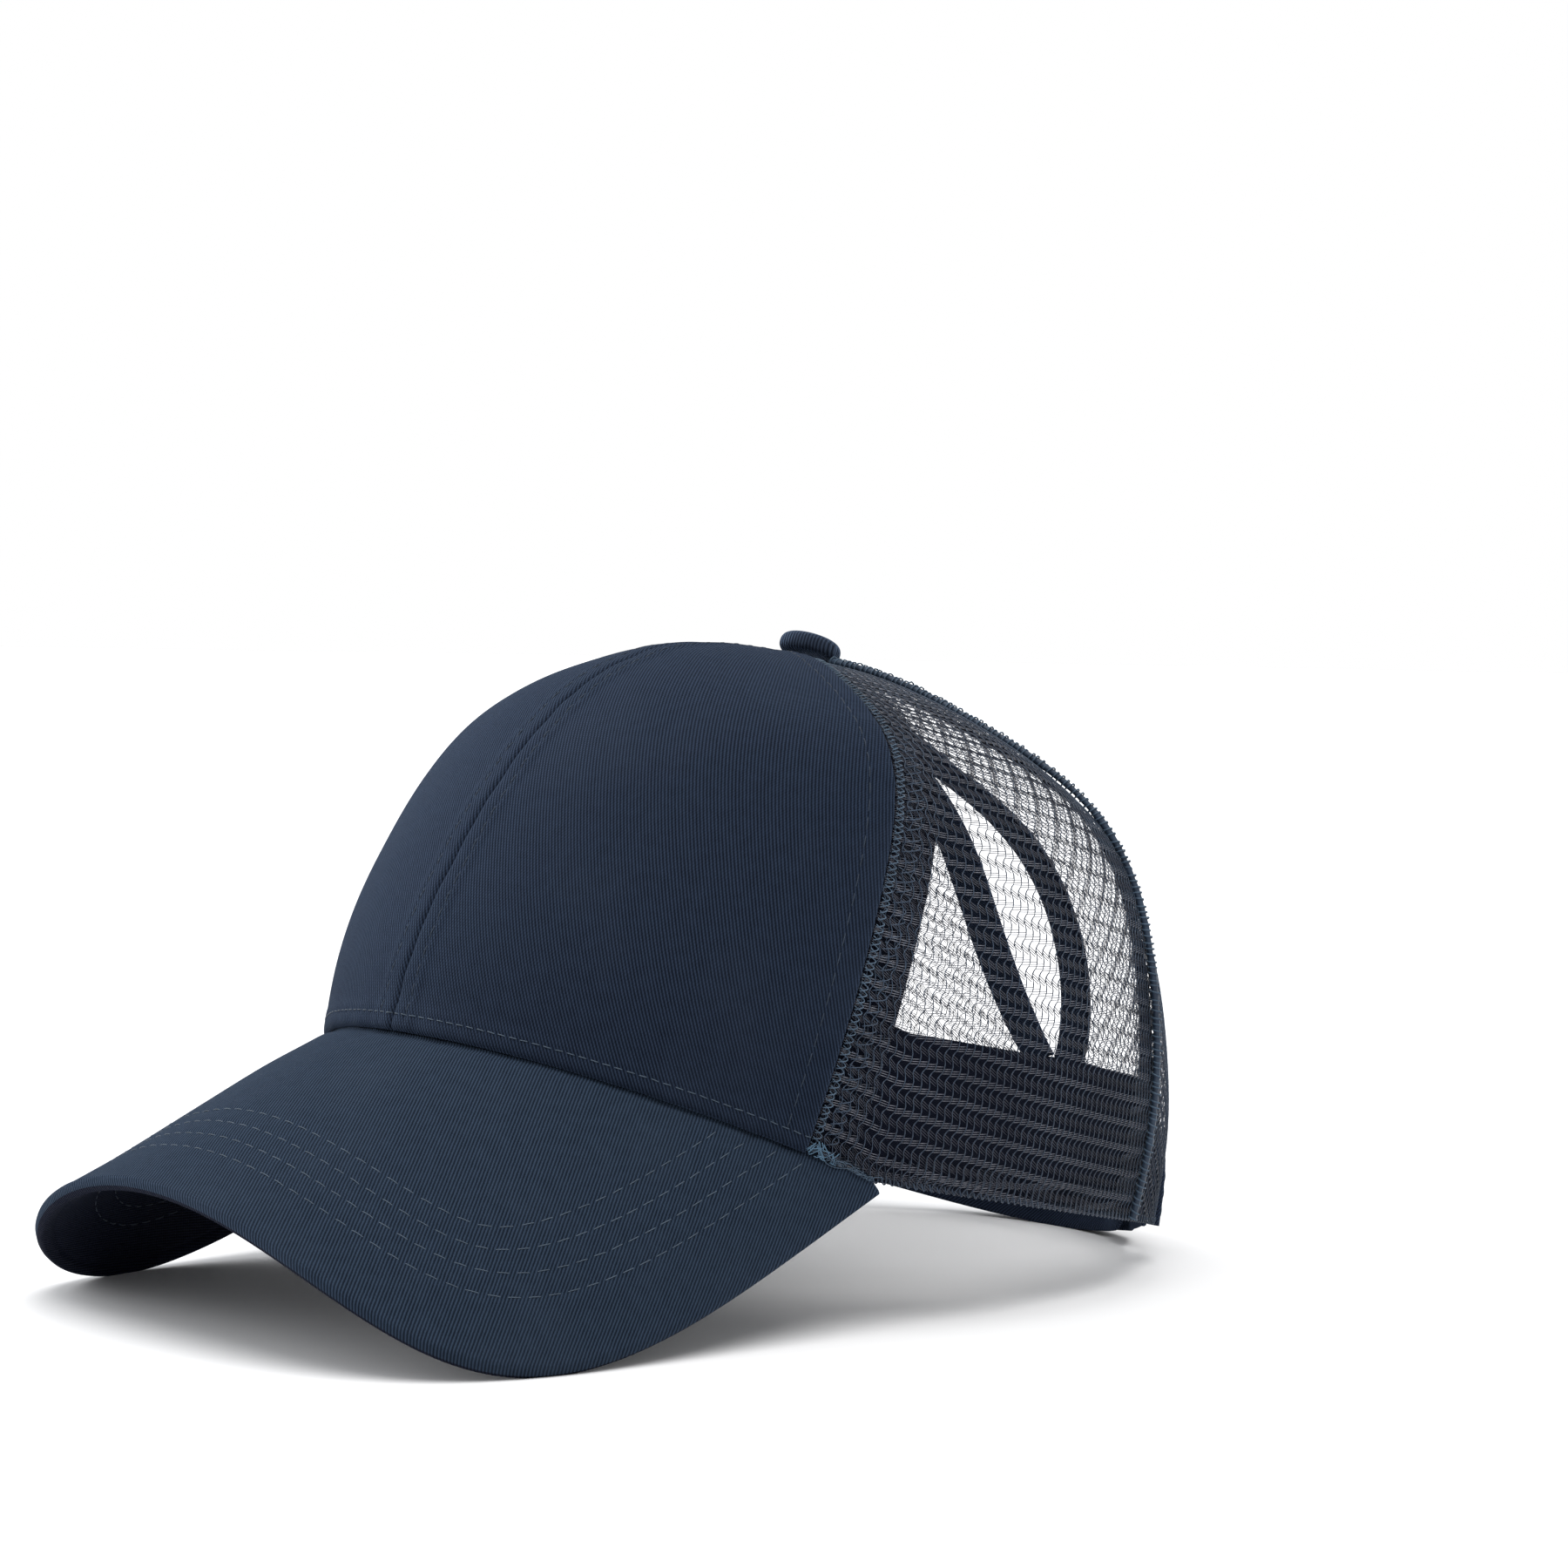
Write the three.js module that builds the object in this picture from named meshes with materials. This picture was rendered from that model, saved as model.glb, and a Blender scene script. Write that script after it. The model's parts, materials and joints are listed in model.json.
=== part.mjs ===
// Ponytail baseball cap: two twill front panels, four net panels, a curved peak, a slit for a
// ponytail down the back, an arch over a two part strap, a sweatband and a covered button.
// Millimetres, +Z up. The peak points to -Y and +X is the wearer's left.
// The crown is drawn with its rim level, then the whole cap is tipped back onto its peak and strap.
import * as THREE from 'three';

// Crown, measured on its outer face. Reaches run from the crown's axis at the rim.
const frontReach = 100;
const backReach = 105;
const sideReach = 81.7;
const crownHeight = 110.4;
const apexForward = 3.1;
const planPower = 1.95;
const seamGap = 0.3;
const buttonHole = 2.5;

// Profiles of the crown at equal steps from the rim to the apex, as shares of the height and reaches.
const crownStations = [
  { rise: 0.0, front: 1.0, back: 1.0, side: 1.0 },
  { rise: 0.262, front: 0.956, back: 0.922, side: 1.064 },
  { rise: 0.573, front: 0.821, back: 0.754, side: 1.028 },
  { rise: 0.777, front: 0.677, back: 0.531, side: 0.878 },
  { rise: 0.894, front: 0.53, back: 0.265, side: 0.607 },
  { rise: 0.974, front: 0.324, back: 0.1, side: 0.279 },
  { rise: 1.0, front: 0.0, back: 0.0, side: 0.0 },
];

// Seams, as angles round the crown from the middle of the front.
const sideSeamAngle = 61;
const rearSeamAngle = 118.6;

// Wall thicknesses.
const twillWall = 1.5;
const netWall = 1.2;

// Peak. Its top curves down across, more at its edges, and slopes forward. Its drop grows forward.
const peakLength = 65.6;
const peakHalfWidth = 100;
const peakRunBack = 51.5;
const peakBendRadius = 87.3;
const peakEdgeCurl = 6.3;
const peakSlope = 33.5;
const peakFlare = 0.00053;
const peakCornerPower = 4;
const peakThickness = 3.4;
const peakTipThickness = 1.6;
const peakEdgeRound = 1.4;
const peakTipSpread = 2.5;
const peakMeetAngle = 69.3;
const peakRootStop = 1.5;
const peakMeetShort = 0.01;
const peakMeetStep = 0.5;
const peakThinFrom = 0.7;
const peakEdgeTaper = 0.3;
const peakSideThrough = 0.35;

// Ponytail slit down the middle of the back, and the tape along its edges.
const slitLength = 85;
const slitHalfWidth = 8.5;
const slitLean = 0.8;
const slitTapeWidth = 10;
const slitTapeTopWidth = 4.5;
const tapeProud = 0.6;
const tapeDepth = 1.6;

// Arch above the strap, and the tape round it.
const archHalfWidth = 45;
const archRise = 27;
const archTapeWidth = 9;
const archPower = 2.2;
const archTabDrop = 2;
const archTabFrom = 0.44;
const archCornerTurn = 0.02;

// Sweatband inside the rim.
const bandHeight = 32;
const bandThickness = 1.1;
const bandClearance = 0.7;
const bandEndClearance = 5;
const bandHangFrom = 0.8;

// Closing strap: the left half lies outside the right half.
const strapWidth = 16;
const strapThickness = 1.6;
const strapDrop = 4;
const strapSag = 3;
const strapRootLength = 13;
const leftStrapReach = 32;
const rightStrapReach = 36;
const strapCornerCut = 5;
const strapCornerRise = 3;
const strapSeat = 0.1;
const strapPassMargin = 1;
const strapRunOut = 3;
const strapTuckLength = 6;
const strapLevelMargin = 0.05;
const padThickness = 0.8;
const padHalfLength = 20;
const padMargin = 2;

// Covered button.
const buttonRadius = 6.9;
const buttonHeight = 4.8;
const buttonLean = 9;
const tapeUnderButton = 1;

// Half section of the button, as shares of its radius and height.
const buttonProfile = [
  { radius: 0.0, height: 0.0 },
  { radius: 0.86, height: 0.0 },
  { radius: 1.0, height: 0.2 },
  { radius: 1.0, height: 0.45 },
  { radius: 0.93, height: 0.72 },
  { radius: 0.7, height: 0.92 },
  { radius: 0.35, height: 1.0 },
  { radius: 0.0, height: 1.0 },
];

// Columns and rows of the pieces' grids.
const grid = {
  frontColumns: 12,
  lapColumns: 3,
  sideColumns: 9,
  rearColumns: 8,
  panelRows: 12,
  tapeColumns: 2,
  archSteps: 24,
  slitRows: 15,
  bandColumns: 60,
  bandRows: 4,
  peakColumns: 44,
  peakRows: 6,
  leftStrapColumns: 30,
  rightStrapColumns: 32,
  padColumns: 16,
  buttonSides: 24,
};
const halvings = 50;

const twillMaterial = new THREE.MeshStandardMaterial({ color: 0x1b2a3f, roughness: 0.9, metalness: 0 });
const netMaterial = new THREE.MeshStandardMaterial({ color: 0x1d3048, roughness: 0.6, metalness: 0 });
const tapeMaterial = new THREE.MeshStandardMaterial({ color: 0x15233a, roughness: 0.9, metalness: 0 });
const fastenerMaterial = new THREE.MeshStandardMaterial({ color: 0x14110f, roughness: 0.95, metalness: 0 });

const radians = THREE.MathUtils.degToRad;
const lerp = THREE.MathUtils.lerp;
const clamp = THREE.MathUtils.clamp;
const smoothstep = THREE.MathUtils.smoothstep;

// Even steps between two values, both included.
function evenSteps(from, to, count) {
  return Array.from({ length: count + 1 }, (_, i) => lerp(from, to, i / count));
}

// Natural cubic spline through values at equal steps of 0 to 1.
function naturalSpline(values) {
  const last = values.length - 1;
  const step = 1 / last;
  const bend = new Array(last + 1).fill(0);
  const upper = new Array(last + 1).fill(0);
  for (let i = 1; i < last; i += 1) {
    const pivot = 4 - upper[i - 1];
    const turn = (6 * (values[i + 1] - 2 * values[i] + values[i - 1])) / (step * step);
    upper[i] = 1 / pivot;
    bend[i] = (turn - bend[i - 1]) / pivot;
  }
  for (let i = last - 1; i > 0; i -= 1) {
    bend[i] -= upper[i] * bend[i + 1];
  }
  return (s) => {
    const i = clamp(Math.floor(s * last), 0, last - 1);
    const b = s * last - i;
    const a = 1 - b;
    const curve = ((a * a * a - a) * bend[i] + (b * b * b - b) * bend[i + 1]) * ((step * step) / 6);
    return a * values[i] + b * values[i + 1] + curve;
  };
}

const riseAt = naturalSpline(crownStations.map((row) => row.rise));
const frontAt = naturalSpline(crownStations.map((row) => row.front));
const backAt = naturalSpline(crownStations.map((row) => row.back));
const sideAt = naturalSpline(crownStations.map((row) => row.side));

// Halving search for the place between low and high where a rising function passes zero.
function solve(low, high, rising) {
  let a = low;
  let b = high;
  for (let i = 0; i < halvings; i += 1) {
    const middle = (a + b) / 2;
    if (rising(middle) < 0) {
      a = middle;
    } else {
      b = middle;
    }
  }
  return (a + b) / 2;
}

// Plan position on the crown for an angle from the front, positive towards +X, and a station s.
function planPoint(angle, s) {
  const roundness = 2 / planPower;
  const c = Math.cos(angle);
  const n = Math.sin(angle);
  const reach = c > 0 ? frontReach * frontAt(s) : backReach * backAt(s);
  const x = sideReach * sideAt(s) * Math.sign(n) * Math.abs(n) ** roundness;
  const y = -apexForward * s * s - reach * Math.sign(c) * Math.abs(c) ** roundness;
  return new THREE.Vector2(x, y);
}

// Plan position at the rim, moved outward along the level normal.
function rimPoint(angle, outward) {
  const step = 0.002;
  const along = planPoint(angle + step, 0).sub(planPoint(angle - step, 0)).normalize();
  return planPoint(angle, 0).add(new THREE.Vector2(along.y, -along.x).multiplyScalar(outward));
}

// Peak section, summed in short steps: for a distance w across the peak, how far it reaches sideways
// and how far it has dropped.
const peakSin = Math.sin(radians(peakSlope));
const peakCos = Math.cos(radians(peakSlope));
const sectionSteps = 400;
const sectionOverrun = 1.2;
const sectionSpan = peakHalfWidth * sectionOverrun;
const sectionStep = sectionSpan / sectionSteps;
const sectionTurn = (w) => w / peakBendRadius + radians(peakEdgeCurl) * (w / peakHalfWidth) ** 3;
const section = [{ reach: 0, drop: 0 }];
for (let i = 0; i < sectionSteps; i += 1) {
  const turn = sectionTurn((i + 0.5) * sectionStep);
  const { reach, drop } = section[i];
  section.push({ reach: reach + sectionStep * Math.cos(turn), drop: drop + sectionStep * Math.sin(turn) });
}

function sectionValue(w, key) {
  const place = clamp(Math.abs(w) / sectionStep, 0, sectionSteps - 0.001);
  const i = Math.floor(place);
  return lerp(section[i][key], section[i + 1][key], place - i);
}

const sectionReach = (w) => Math.sign(w) * sectionValue(w, 'reach');
const sectionDrop = (w) => sectionValue(w, 'drop');

// Distance along the peak, positive forward, at which its top passes through a plan position.
function peakRun(w, y) {
  const drop = sectionDrop(w);
  return (drop * peakSin - frontReach - y) / (peakCos - peakFlare * drop * peakSin);
}

function peakHeight(w, run, root) {
  return root - run * peakSin - sectionDrop(w) * (1 + peakFlare * run) * peakCos;
}

function peakTop(w, run) {
  const y = -frontReach - run * peakCos + sectionDrop(w) * (1 + peakFlare * run) * peakSin;
  return new THREE.Vector3(sectionReach(w), y, peakHeight(w, run, peakRoot));
}

function peakAcross(x) {
  return solve(-sectionSpan, sectionSpan, (w) => sectionReach(w) - x);
}

function peakHeightOver(x, y, root) {
  const w = peakAcross(x);
  return peakHeight(w, peakRun(w, y), root);
}

// The peak's root stands as high as brings its top down to the rim at the angle where they meet.
const meetPoint = planPoint(radians(peakMeetAngle), 0);
const peakRoot = -peakHeightOver(meetPoint.x, meetPoint.y, 0);

// The crown's lower edge rises over the peak. The rise fades up the wall.
function rimLift(angle, x, y) {
  return Math.abs(angle) < radians(peakMeetAngle) ? peakHeightOver(x, y, peakRoot) + seamGap : 0;
}

function crownSurface(angle, s) {
  const plan = planPoint(angle, s);
  const foot = planPoint(angle, 0);
  const lift = rimLift(angle, foot.x, foot.y) * (1 - s) ** 2;
  return new THREE.Vector3(plan.x, plan.y, crownHeight * riseAt(s) + lift);
}

// Outward normal of the crown, from two short steps on its surface.
function crownNormal(angle, s) {
  const step = 0.004;
  const low = Math.max(s - step, 0);
  const round = crownSurface(angle + step, s).sub(crownSurface(angle - step, s));
  const up = crownSurface(angle, Math.min(s + step, 1)).sub(crownSurface(angle, low));
  return round.cross(up).normalize();
}

// Point on the crown moved outward. Below the rim the wall runs straight down.
function crownPoint(angle, s, outward, drop = 0) {
  const point = crownSurface(angle, s).addScaledVector(crownNormal(angle, s), outward);
  point.z -= drop;
  return point;
}

// Lengths up the middle of the back, from the rim, and the station at each.
const rearSteps = 240;
const rearLengths = [0];
for (let i = 1; i <= rearSteps; i += 1) {
  const from = crownSurface(Math.PI, (i - 1) / rearSteps);
  const to = crownSurface(Math.PI, i / rearSteps);
  rearLengths.push(rearLengths[i - 1] + from.distanceTo(to));
}

function stationUpBack(length) {
  const i = clamp(rearLengths.findIndex((value) => value > length), 1, rearSteps);
  const share = (length - rearLengths[i - 1]) / (rearLengths[i] - rearLengths[i - 1]);
  return clamp((i - 1 + share) / rearSteps, 0, 1);
}

function lengthUpBack(s) {
  const i = clamp(Math.ceil(s * rearSteps), 1, rearSteps);
  return lerp(rearLengths[i - 1], rearLengths[i], s * rearSteps - (i - 1));
}

// Angle at which the crown lies a distance sideways from the middle of the back.
function angleBeside(x, s) {
  const share = clamp(Math.abs(x) / (sideReach * sideAt(s)), 0, 1);
  return (x < 0 ? -1 : 1) * (Math.PI - Math.asin(share ** (planPower / 2)));
}

// Point on the back of the crown by its distance sideways and its length up from the rim.
function rearPoint(x, length, outward) {
  const s = stationUpBack(Math.max(length, 0));
  return crownPoint(angleBeside(x, s), s, outward, Math.max(-length, 0));
}

// Station at which the crown has closed in to a distance from its apex.
function stationNearApex(angle, radius) {
  const apex = planPoint(0, 1);
  return solve(0.5, 1, (s) => radius - planPoint(angle, s).distanceTo(apex));
}

// Panels stop at the hole under the button.
function topStation(angle) {
  return stationNearApex(angle, buttonHole);
}

// Closed body between an outer and an inner grid of points.
function slabGeometry(columns, rows, outerAt, innerAt) {
  const positions = [];
  const index = [];
  const wide = columns + 1;
  const layer = wide * (rows + 1);
  for (const at of [outerAt, innerAt]) {
    for (let j = 0; j <= rows; j += 1) {
      for (let i = 0; i <= columns; i += 1) {
        const point = at(i / columns, j / rows);
        positions.push(point.x, point.y, point.z);
      }
    }
  }
  const outer = (i, j) => j * wide + i;
  const inner = (i, j) => layer + j * wide + i;
  const quad = (a, b, c, d) => index.push(a, b, c, a, c, d);
  for (let j = 0; j < rows; j += 1) {
    for (let i = 0; i < columns; i += 1) {
      quad(outer(i, j), outer(i + 1, j), outer(i + 1, j + 1), outer(i, j + 1));
      quad(inner(i, j), inner(i, j + 1), inner(i + 1, j + 1), inner(i + 1, j));
    }
  }
  for (let i = 0; i < columns; i += 1) {
    quad(inner(i, 0), inner(i + 1, 0), outer(i + 1, 0), outer(i, 0));
    quad(outer(i, rows), outer(i + 1, rows), inner(i + 1, rows), inner(i, rows));
  }
  for (let j = 0; j < rows; j += 1) {
    quad(inner(0, j + 1), inner(0, j), outer(0, j), outer(0, j + 1));
    quad(outer(columns, j + 1), outer(columns, j), inner(columns, j), inner(columns, j + 1));
  }
  const geometry = new THREE.BufferGeometry();
  geometry.setAttribute('position', new THREE.Float32BufferAttribute(positions, 3));
  geometry.setIndex(index);
  geometry.computeVertexNormals();
  return geometry;
}

function namedMesh(name, geometry, material) {
  const mesh = new THREE.Mesh(geometry, material);
  mesh.name = name;
  return mesh;
}

// Half of a seam's gap at a station, as an angle round the crown.
function halfGapAngle(angle, s) {
  const step = 0.01;
  const perRadian = planPoint(angle + step, s).distanceTo(planPoint(angle - step, s)) / (2 * step);
  return seamGap / 2 / perRadian;
}

// The inner face's lower edge is trimmed to the same clearance over the peak as the outer face's.
function wallPoint(angle, s, depth) {
  const point = crownPoint(angle, s, -depth);
  if (s === 0 && depth > 0) {
    point.z = rimLift(angle, point.x, point.y);
  }
  return point;
}

// Panel between two seams, with its columns at the listed angles. Side is 1 for the wearer's left.
function seamPanel(side, degrees, wall, rows) {
  const columns = degrees.length - 1;
  const spot = (u, v, depth) => {
    const column = Math.round((side > 0 ? u : 1 - u) * columns);
    const angle = radians(degrees[column]) * side;
    const s = v * topStation(angle);
    const seam = halfGapAngle(angle, s) * side;
    const atSeam = { 0: seam, [columns]: -seam }[column] ?? 0;
    return wallPoint(angle + atSeam, s, depth);
  };
  return slabGeometry(columns, rows, (u, v) => spot(u, v, 0), (u, v) => spot(u, v, wall));
}

// Top of the arch's tape, or of the arch itself, at a distance sideways from the middle.
function archOutline(turn, halfWidth, rise) {
  const c = Math.cos(turn);
  const n = Math.sin(turn);
  const size = (Math.abs(c) ** archPower + Math.abs(n) ** archPower) ** (-1 / archPower);
  return new THREE.Vector2(halfWidth * size * c, rise * size * n);
}

const archOuterHalf = archHalfWidth + archTapeWidth;
const archOuterRise = archRise + archTapeWidth;

// Half width of the slit, and of the slit with its tape, at a length up the back.
const slitStart = archOuterRise + seamGap;

// The slit's tapes end under the button's edge.
const slitTapeTop = lengthUpBack(stationNearApex(Math.PI, buttonRadius - tapeUnderButton));

function slitHalfAt(length) {
  const share = clamp((length - slitStart) / slitLength, 0, 1);
  return Math.max(slitHalfWidth * Math.sin(Math.PI * share ** slitLean), seamGap / 2);
}

function slitOuterAt(length) {
  const narrowing = smoothstep(length, slitStart + slitLength, slitTapeTop);
  return slitHalfAt(length) + lerp(slitTapeWidth, slitTapeTopWidth, narrowing);
}

// Where the slit's tape meets the arch's tape, on the tape's outer edge.
const archTop = (turn) => archOutline(turn, archOuterHalf + seamGap, archOuterRise + seamGap);
const cornerTurn = solve(0, Math.PI / 2, (turn) => slitOuterAt(archTop(turn).y) + seamGap - archTop(turn).x);
const corner = archTop(cornerTurn);
const slitRowLengths = evenSteps(corner.y, slitTapeTop, grid.slitRows);

// Inner corners of a net panel, from the rim round the arch's tape and up beside the slit's tape.
function rearPanelEdge() {
  const beside = (length) => new THREE.Vector2(slitOuterAt(length) + seamGap, length);
  const top = lengthUpBack(topStation(Math.PI));
  const turns = evenSteps(0, Math.PI, grid.archSteps).filter((turn) => turn < cornerTurn - archCornerTurn);
  return [
    ...turns.map(archTop),
    ...slitRowLengths.map(beside),
    beside(lerp(slitTapeTop, top, 0.5)),
    beside(top),
  ];
}

// Net panel between the rear seam, the arch's tape and the slit's tape.
function rearPanel(side, columns) {
  const edge = rearPanelEdge();
  const rows = edge.length - 1;
  const spot = (u, v, depth) => {
    const share = side > 0 ? u : 1 - u;
    const inner = edge[Math.round(v * rows)];
    const s = stationUpBack(inner.y);
    const seam = radians(rearSeamAngle) + halfGapAngle(radians(rearSeamAngle), s);
    return wallPoint(lerp(seam, angleBeside(inner.x, s), share) * side, s, depth);
  };
  return slabGeometry(columns, rows, (u, v) => spot(u, v, 0), (u, v) => spot(u, v, netWall));
}

// Tape along one edge of the slit, from the arch's tape to the button.
function slitTape(side, columns) {
  const spot = (u, v, outward) => {
    const outerLength = slitRowLengths[Math.round(v * grid.slitRows)];
    const innerLength = lerp(slitStart + seamGap, slitTapeTop, v);
    const outer = new THREE.Vector2(slitOuterAt(outerLength), outerLength);
    const inner = new THREE.Vector2(slitHalfAt(innerLength), innerLength);
    const point = inner.lerp(outer, side > 0 ? 1 - u : u);
    return rearPoint(point.x * side, point.y, outward);
  };
  return slabGeometry(columns, grid.slitRows, (u, v) => spot(u, v, tapeProud), (u, v) => spot(u, v, -tapeDepth));
}

// Tape round the arch, with a short tab below the rim at each end.
function archTape(columns, rows) {
  const spot = (u, v, outward) => {
    const turn = Math.PI * (1 - u);
    const inner = archOutline(turn, archHalfWidth, archRise);
    const outer = archOutline(turn, archOuterHalf, archOuterRise);
    const end = smoothstep(Math.abs(u - 0.5), archTabFrom, 0.5);
    const point = inner.lerp(outer, v);
    return rearPoint(point.x, point.y - end * archTabDrop, outward);
  };
  return slabGeometry(columns, rows, (u, v) => spot(1 - u, v, tapeProud), (u, v) => spot(1 - u, v, -tapeDepth));
}

// Angle past which the peak's outline lies inside the crown's wall.
function peakTipAngle() {
  return solve(0.5, Math.PI / 2, (angle) => {
    const foot = rimPoint(angle, 0);
    const w = peakAcross(foot.x);
    const along = (peakRun(w, foot.y) + peakRunBack) / (peakLength + peakRunBack);
    const forward = Math.sign(along) * Math.abs(along) ** peakCornerPower;
    return Math.abs(w / peakHalfWidth) ** peakCornerPower + forward - 1;
  });
}

// Direction through the peak's thickness, turned towards the vertical at its steep sides.
function peakThrough(w) {
  const turn = sectionTurn(w);
  const across = Math.sin(turn) * peakSideThrough;
  return new THREE.Vector3(across, -peakSin * Math.cos(turn), peakCos * Math.cos(turn)).normalize();
}

// Place on the peak, as distance across and distance forward, whose underside or top meets a plan point.
function peakPlace(foot, thickness) {
  const shift = (w) => peakThrough(w).multiplyScalar(thickness);
  const across = solve(-sectionSpan, sectionSpan, (w) => sectionReach(w) - shift(w).x - foot.x);
  return new THREE.Vector2(across, peakRun(across, foot.y + shift(across).y));
}

function peakGeometry(columns, rows) {
  const rootEnd = radians(peakMeetAngle - peakRootStop);
  const tipFoot = rimPoint(peakTipAngle(), 0);
  const tipAcross = peakAcross(tipFoot.x);
  const reach = peakLength + peakRunBack;
  const tipRun = peakRun(tipAcross, tipFoot.y) + peakTipSpread;
  const tipTurn = Math.atan2((tipRun + peakRunBack) / reach, tipAcross / peakHalfWidth);
  const thicknessAt = (u) => lerp(peakThickness, peakTipThickness, smoothstep(Math.abs(2 * u - 1), peakThinFrom, 1));
  const edgePlace = (u) => {
    const turn = lerp(tipTurn, Math.PI - tipTurn, u);
    const c = Math.cos(turn);
    const n = Math.sin(turn);
    const size = (Math.abs(c) ** peakCornerPower + Math.abs(n) ** peakCornerPower) ** (-1 / peakCornerPower);
    return new THREE.Vector2(peakHalfWidth * size * c, reach * size * n - peakRunBack);
  };
  const rootPlace = (u, thickness) => {
    const foot = rimPoint(lerp(rootEnd, -rootEnd, u), -netWall);
    return peakPlace(foot, thickness);
  };
  const rowShare = (v) => {
    const round = peakEdgeRound / peakLength;
    const bodyRows = rows - 1;
    return v * rows <= bodyRows ? ((v * rows) / bodyRows) * (1 - round) : 1;
  };
  const spot = (u, v, face) => {
    const full = thicknessAt(u);
    const edge = v === 1 ? peakEdgeTaper : 0;
    const depth = full * lerp(edge, 1 - edge, face);
    const place = rootPlace(u, face * full).lerp(edgePlace(u), rowShare(v));
    return peakTop(place.x, place.y).addScaledVector(peakThrough(place.x), -depth);
  };
  return slabGeometry(columns, rows, (u, v) => spot(1 - u, 1 - v, 0), (u, v) => spot(1 - u, 1 - v, 1));
}

// Sweatband inside the rim, from one end of the arch to the other. In front it hangs past the peak's root.
function sweatbandGeometry(columns, rows) {
  const clear = archOuterHalf + bandEndClearance;
  const end = angleBeside(clear, 0);
  const outerDepth = twillWall + bandClearance;
  const spot = (u, v, depth) => {
    const angle = lerp(-end, end, u);
    const top = stationUpBack(bandHeight);
    const row = v * rows;
    const s = row < 1 ? 0 : (top * (row - 1)) / (rows - 1);
    const overPeak = 1 - smoothstep(Math.abs(angle), radians(peakMeetAngle) * bandHangFrom, radians(peakMeetAngle));
    const point = crownPoint(angle, s, -depth);
    if (row === 0) {
      point.z -= (peakThickness / peakCos) * overPeak + seamGap;
    }
    return point;
  };
  const innerDepth = outerDepth + bandThickness;
  return slabGeometry(columns, rows, (u, v) => spot(u, v, outerDepth), (u, v) => spot(u, v, innerDepth));
}

// Outward places of the two strap halves and their pads, from the rim's outer face.
const rootFace = -(tapeDepth + seamGap);
const innerStrapFace = rootFace - strapSeat;
const loopPadFace = innerStrapFace + seamGap + padThickness;
const hookPadFace = loopPadFace + seamGap + padThickness;
const outerStrapFace = hookPadFace + seamGap + strapThickness;

// Point on a band across the back. Rows are its lower edge at 0, the rim's level at 1 and its upper edge
// at 2. It hangs straight below the rim and leans as the crown does above it.
function strapPoint(x, row, outward, inset, cut) {
  const slack = 1 - clamp(Math.abs(x) / archHalfWidth, 0, 1) ** 2;
  const lower = -strapDrop + strapSag * (1 - slack) + inset + cut;
  const upper = lower + strapWidth - 2 * inset - 2 * cut;
  const level = clamp(0, lerp(lower, upper, strapLevelMargin), lerp(upper, lower, strapLevelMargin));
  return rearPoint(x, [lower, level, upper][row], outward);
}

function bandGeometry(fromX, toX, faceAt, thickness, inset, cutAt, columns) {
  const spot = (u, v, depth) => {
    const x = lerp(toX, fromX, u);
    return strapPoint(x, Math.round(v * 2), faceAt(x) - depth, inset, cutAt(x));
  };
  return slabGeometry(columns, 2, (u, v) => spot(u, v, 0), (u, v) => spot(u, v, thickness));
}

const strapRoot = archHalfWidth + strapRootLength;

// Where the arch's edge stands at the height of the strap's upper edge, less a small margin.
const strapTopShare = (strapWidth - strapDrop + strapSag) / archRise;
const strapPass = archHalfWidth * (1 - strapTopShare ** archPower) ** (1 / archPower) - strapPassMargin;

const cornerCut = (toEnd) => strapCornerRise * (1 - clamp(toEnd / strapCornerCut, 0, 1));

// The left half runs out from behind the arch's tape to lie over the right half.
function leftStrap() {
  const runOut = padHalfLength + strapRunOut;
  const faceAt = (x) => lerp(outerStrapFace, innerStrapFace, smoothstep(x, runOut, strapPass));
  const cutAt = (x) => cornerCut(x + leftStrapReach);
  return bandGeometry(-leftStrapReach, strapRoot, faceAt, strapThickness, 0, cutAt, grid.leftStrapColumns);
}

// The right half's free end tucks in behind the root of the left half.
function rightStrap() {
  const tuck = strapThickness + seamGap;
  const tuckEnd = rightStrapReach - strapTuckLength;
  const faceAt = (x) => innerStrapFace - tuck * smoothstep(x, padHalfLength, tuckEnd);
  const cutAt = (x) => cornerCut(rightStrapReach - x);
  return bandGeometry(-strapRoot, rightStrapReach, faceAt, strapThickness, 0, cutAt, grid.rightStrapColumns);
}

function fastenerPad(face) {
  const wide = padHalfLength;
  return bandGeometry(-wide, wide, () => face, padThickness, padMargin, () => 0, grid.padColumns);
}

// Covered button, leaning back over the apex and clear of the panels below it.
function buttonMesh() {
  const profile = buttonProfile.map(
    (row) => new THREE.Vector2(row.radius * buttonRadius, row.height * buttonHeight),
  );
  const geometry = new THREE.LatheGeometry(profile, grid.buttonSides);
  geometry.rotateX(Math.PI / 2);
  const mesh = namedMesh('button', geometry, twillMaterial);
  const lean = radians(buttonLean);
  const axis = new THREE.Vector3(0, Math.sin(lean), Math.cos(lean));
  const apex = crownSurface(0, 1);
  let rest = 0;
  for (const angle of evenSteps(0, 2 * Math.PI, 2 * grid.buttonSides)) {
    for (const s of [stationNearApex(angle, buttonRadius), topStation(angle)]) {
      rest = Math.max(rest, crownSurface(angle, s).sub(apex).dot(axis));
    }
  }
  mesh.position.copy(apex).addScaledVector(axis, Math.max(rest, tapeProud) + seamGap);
  mesh.rotation.x = -lean;
  return mesh;
}

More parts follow.
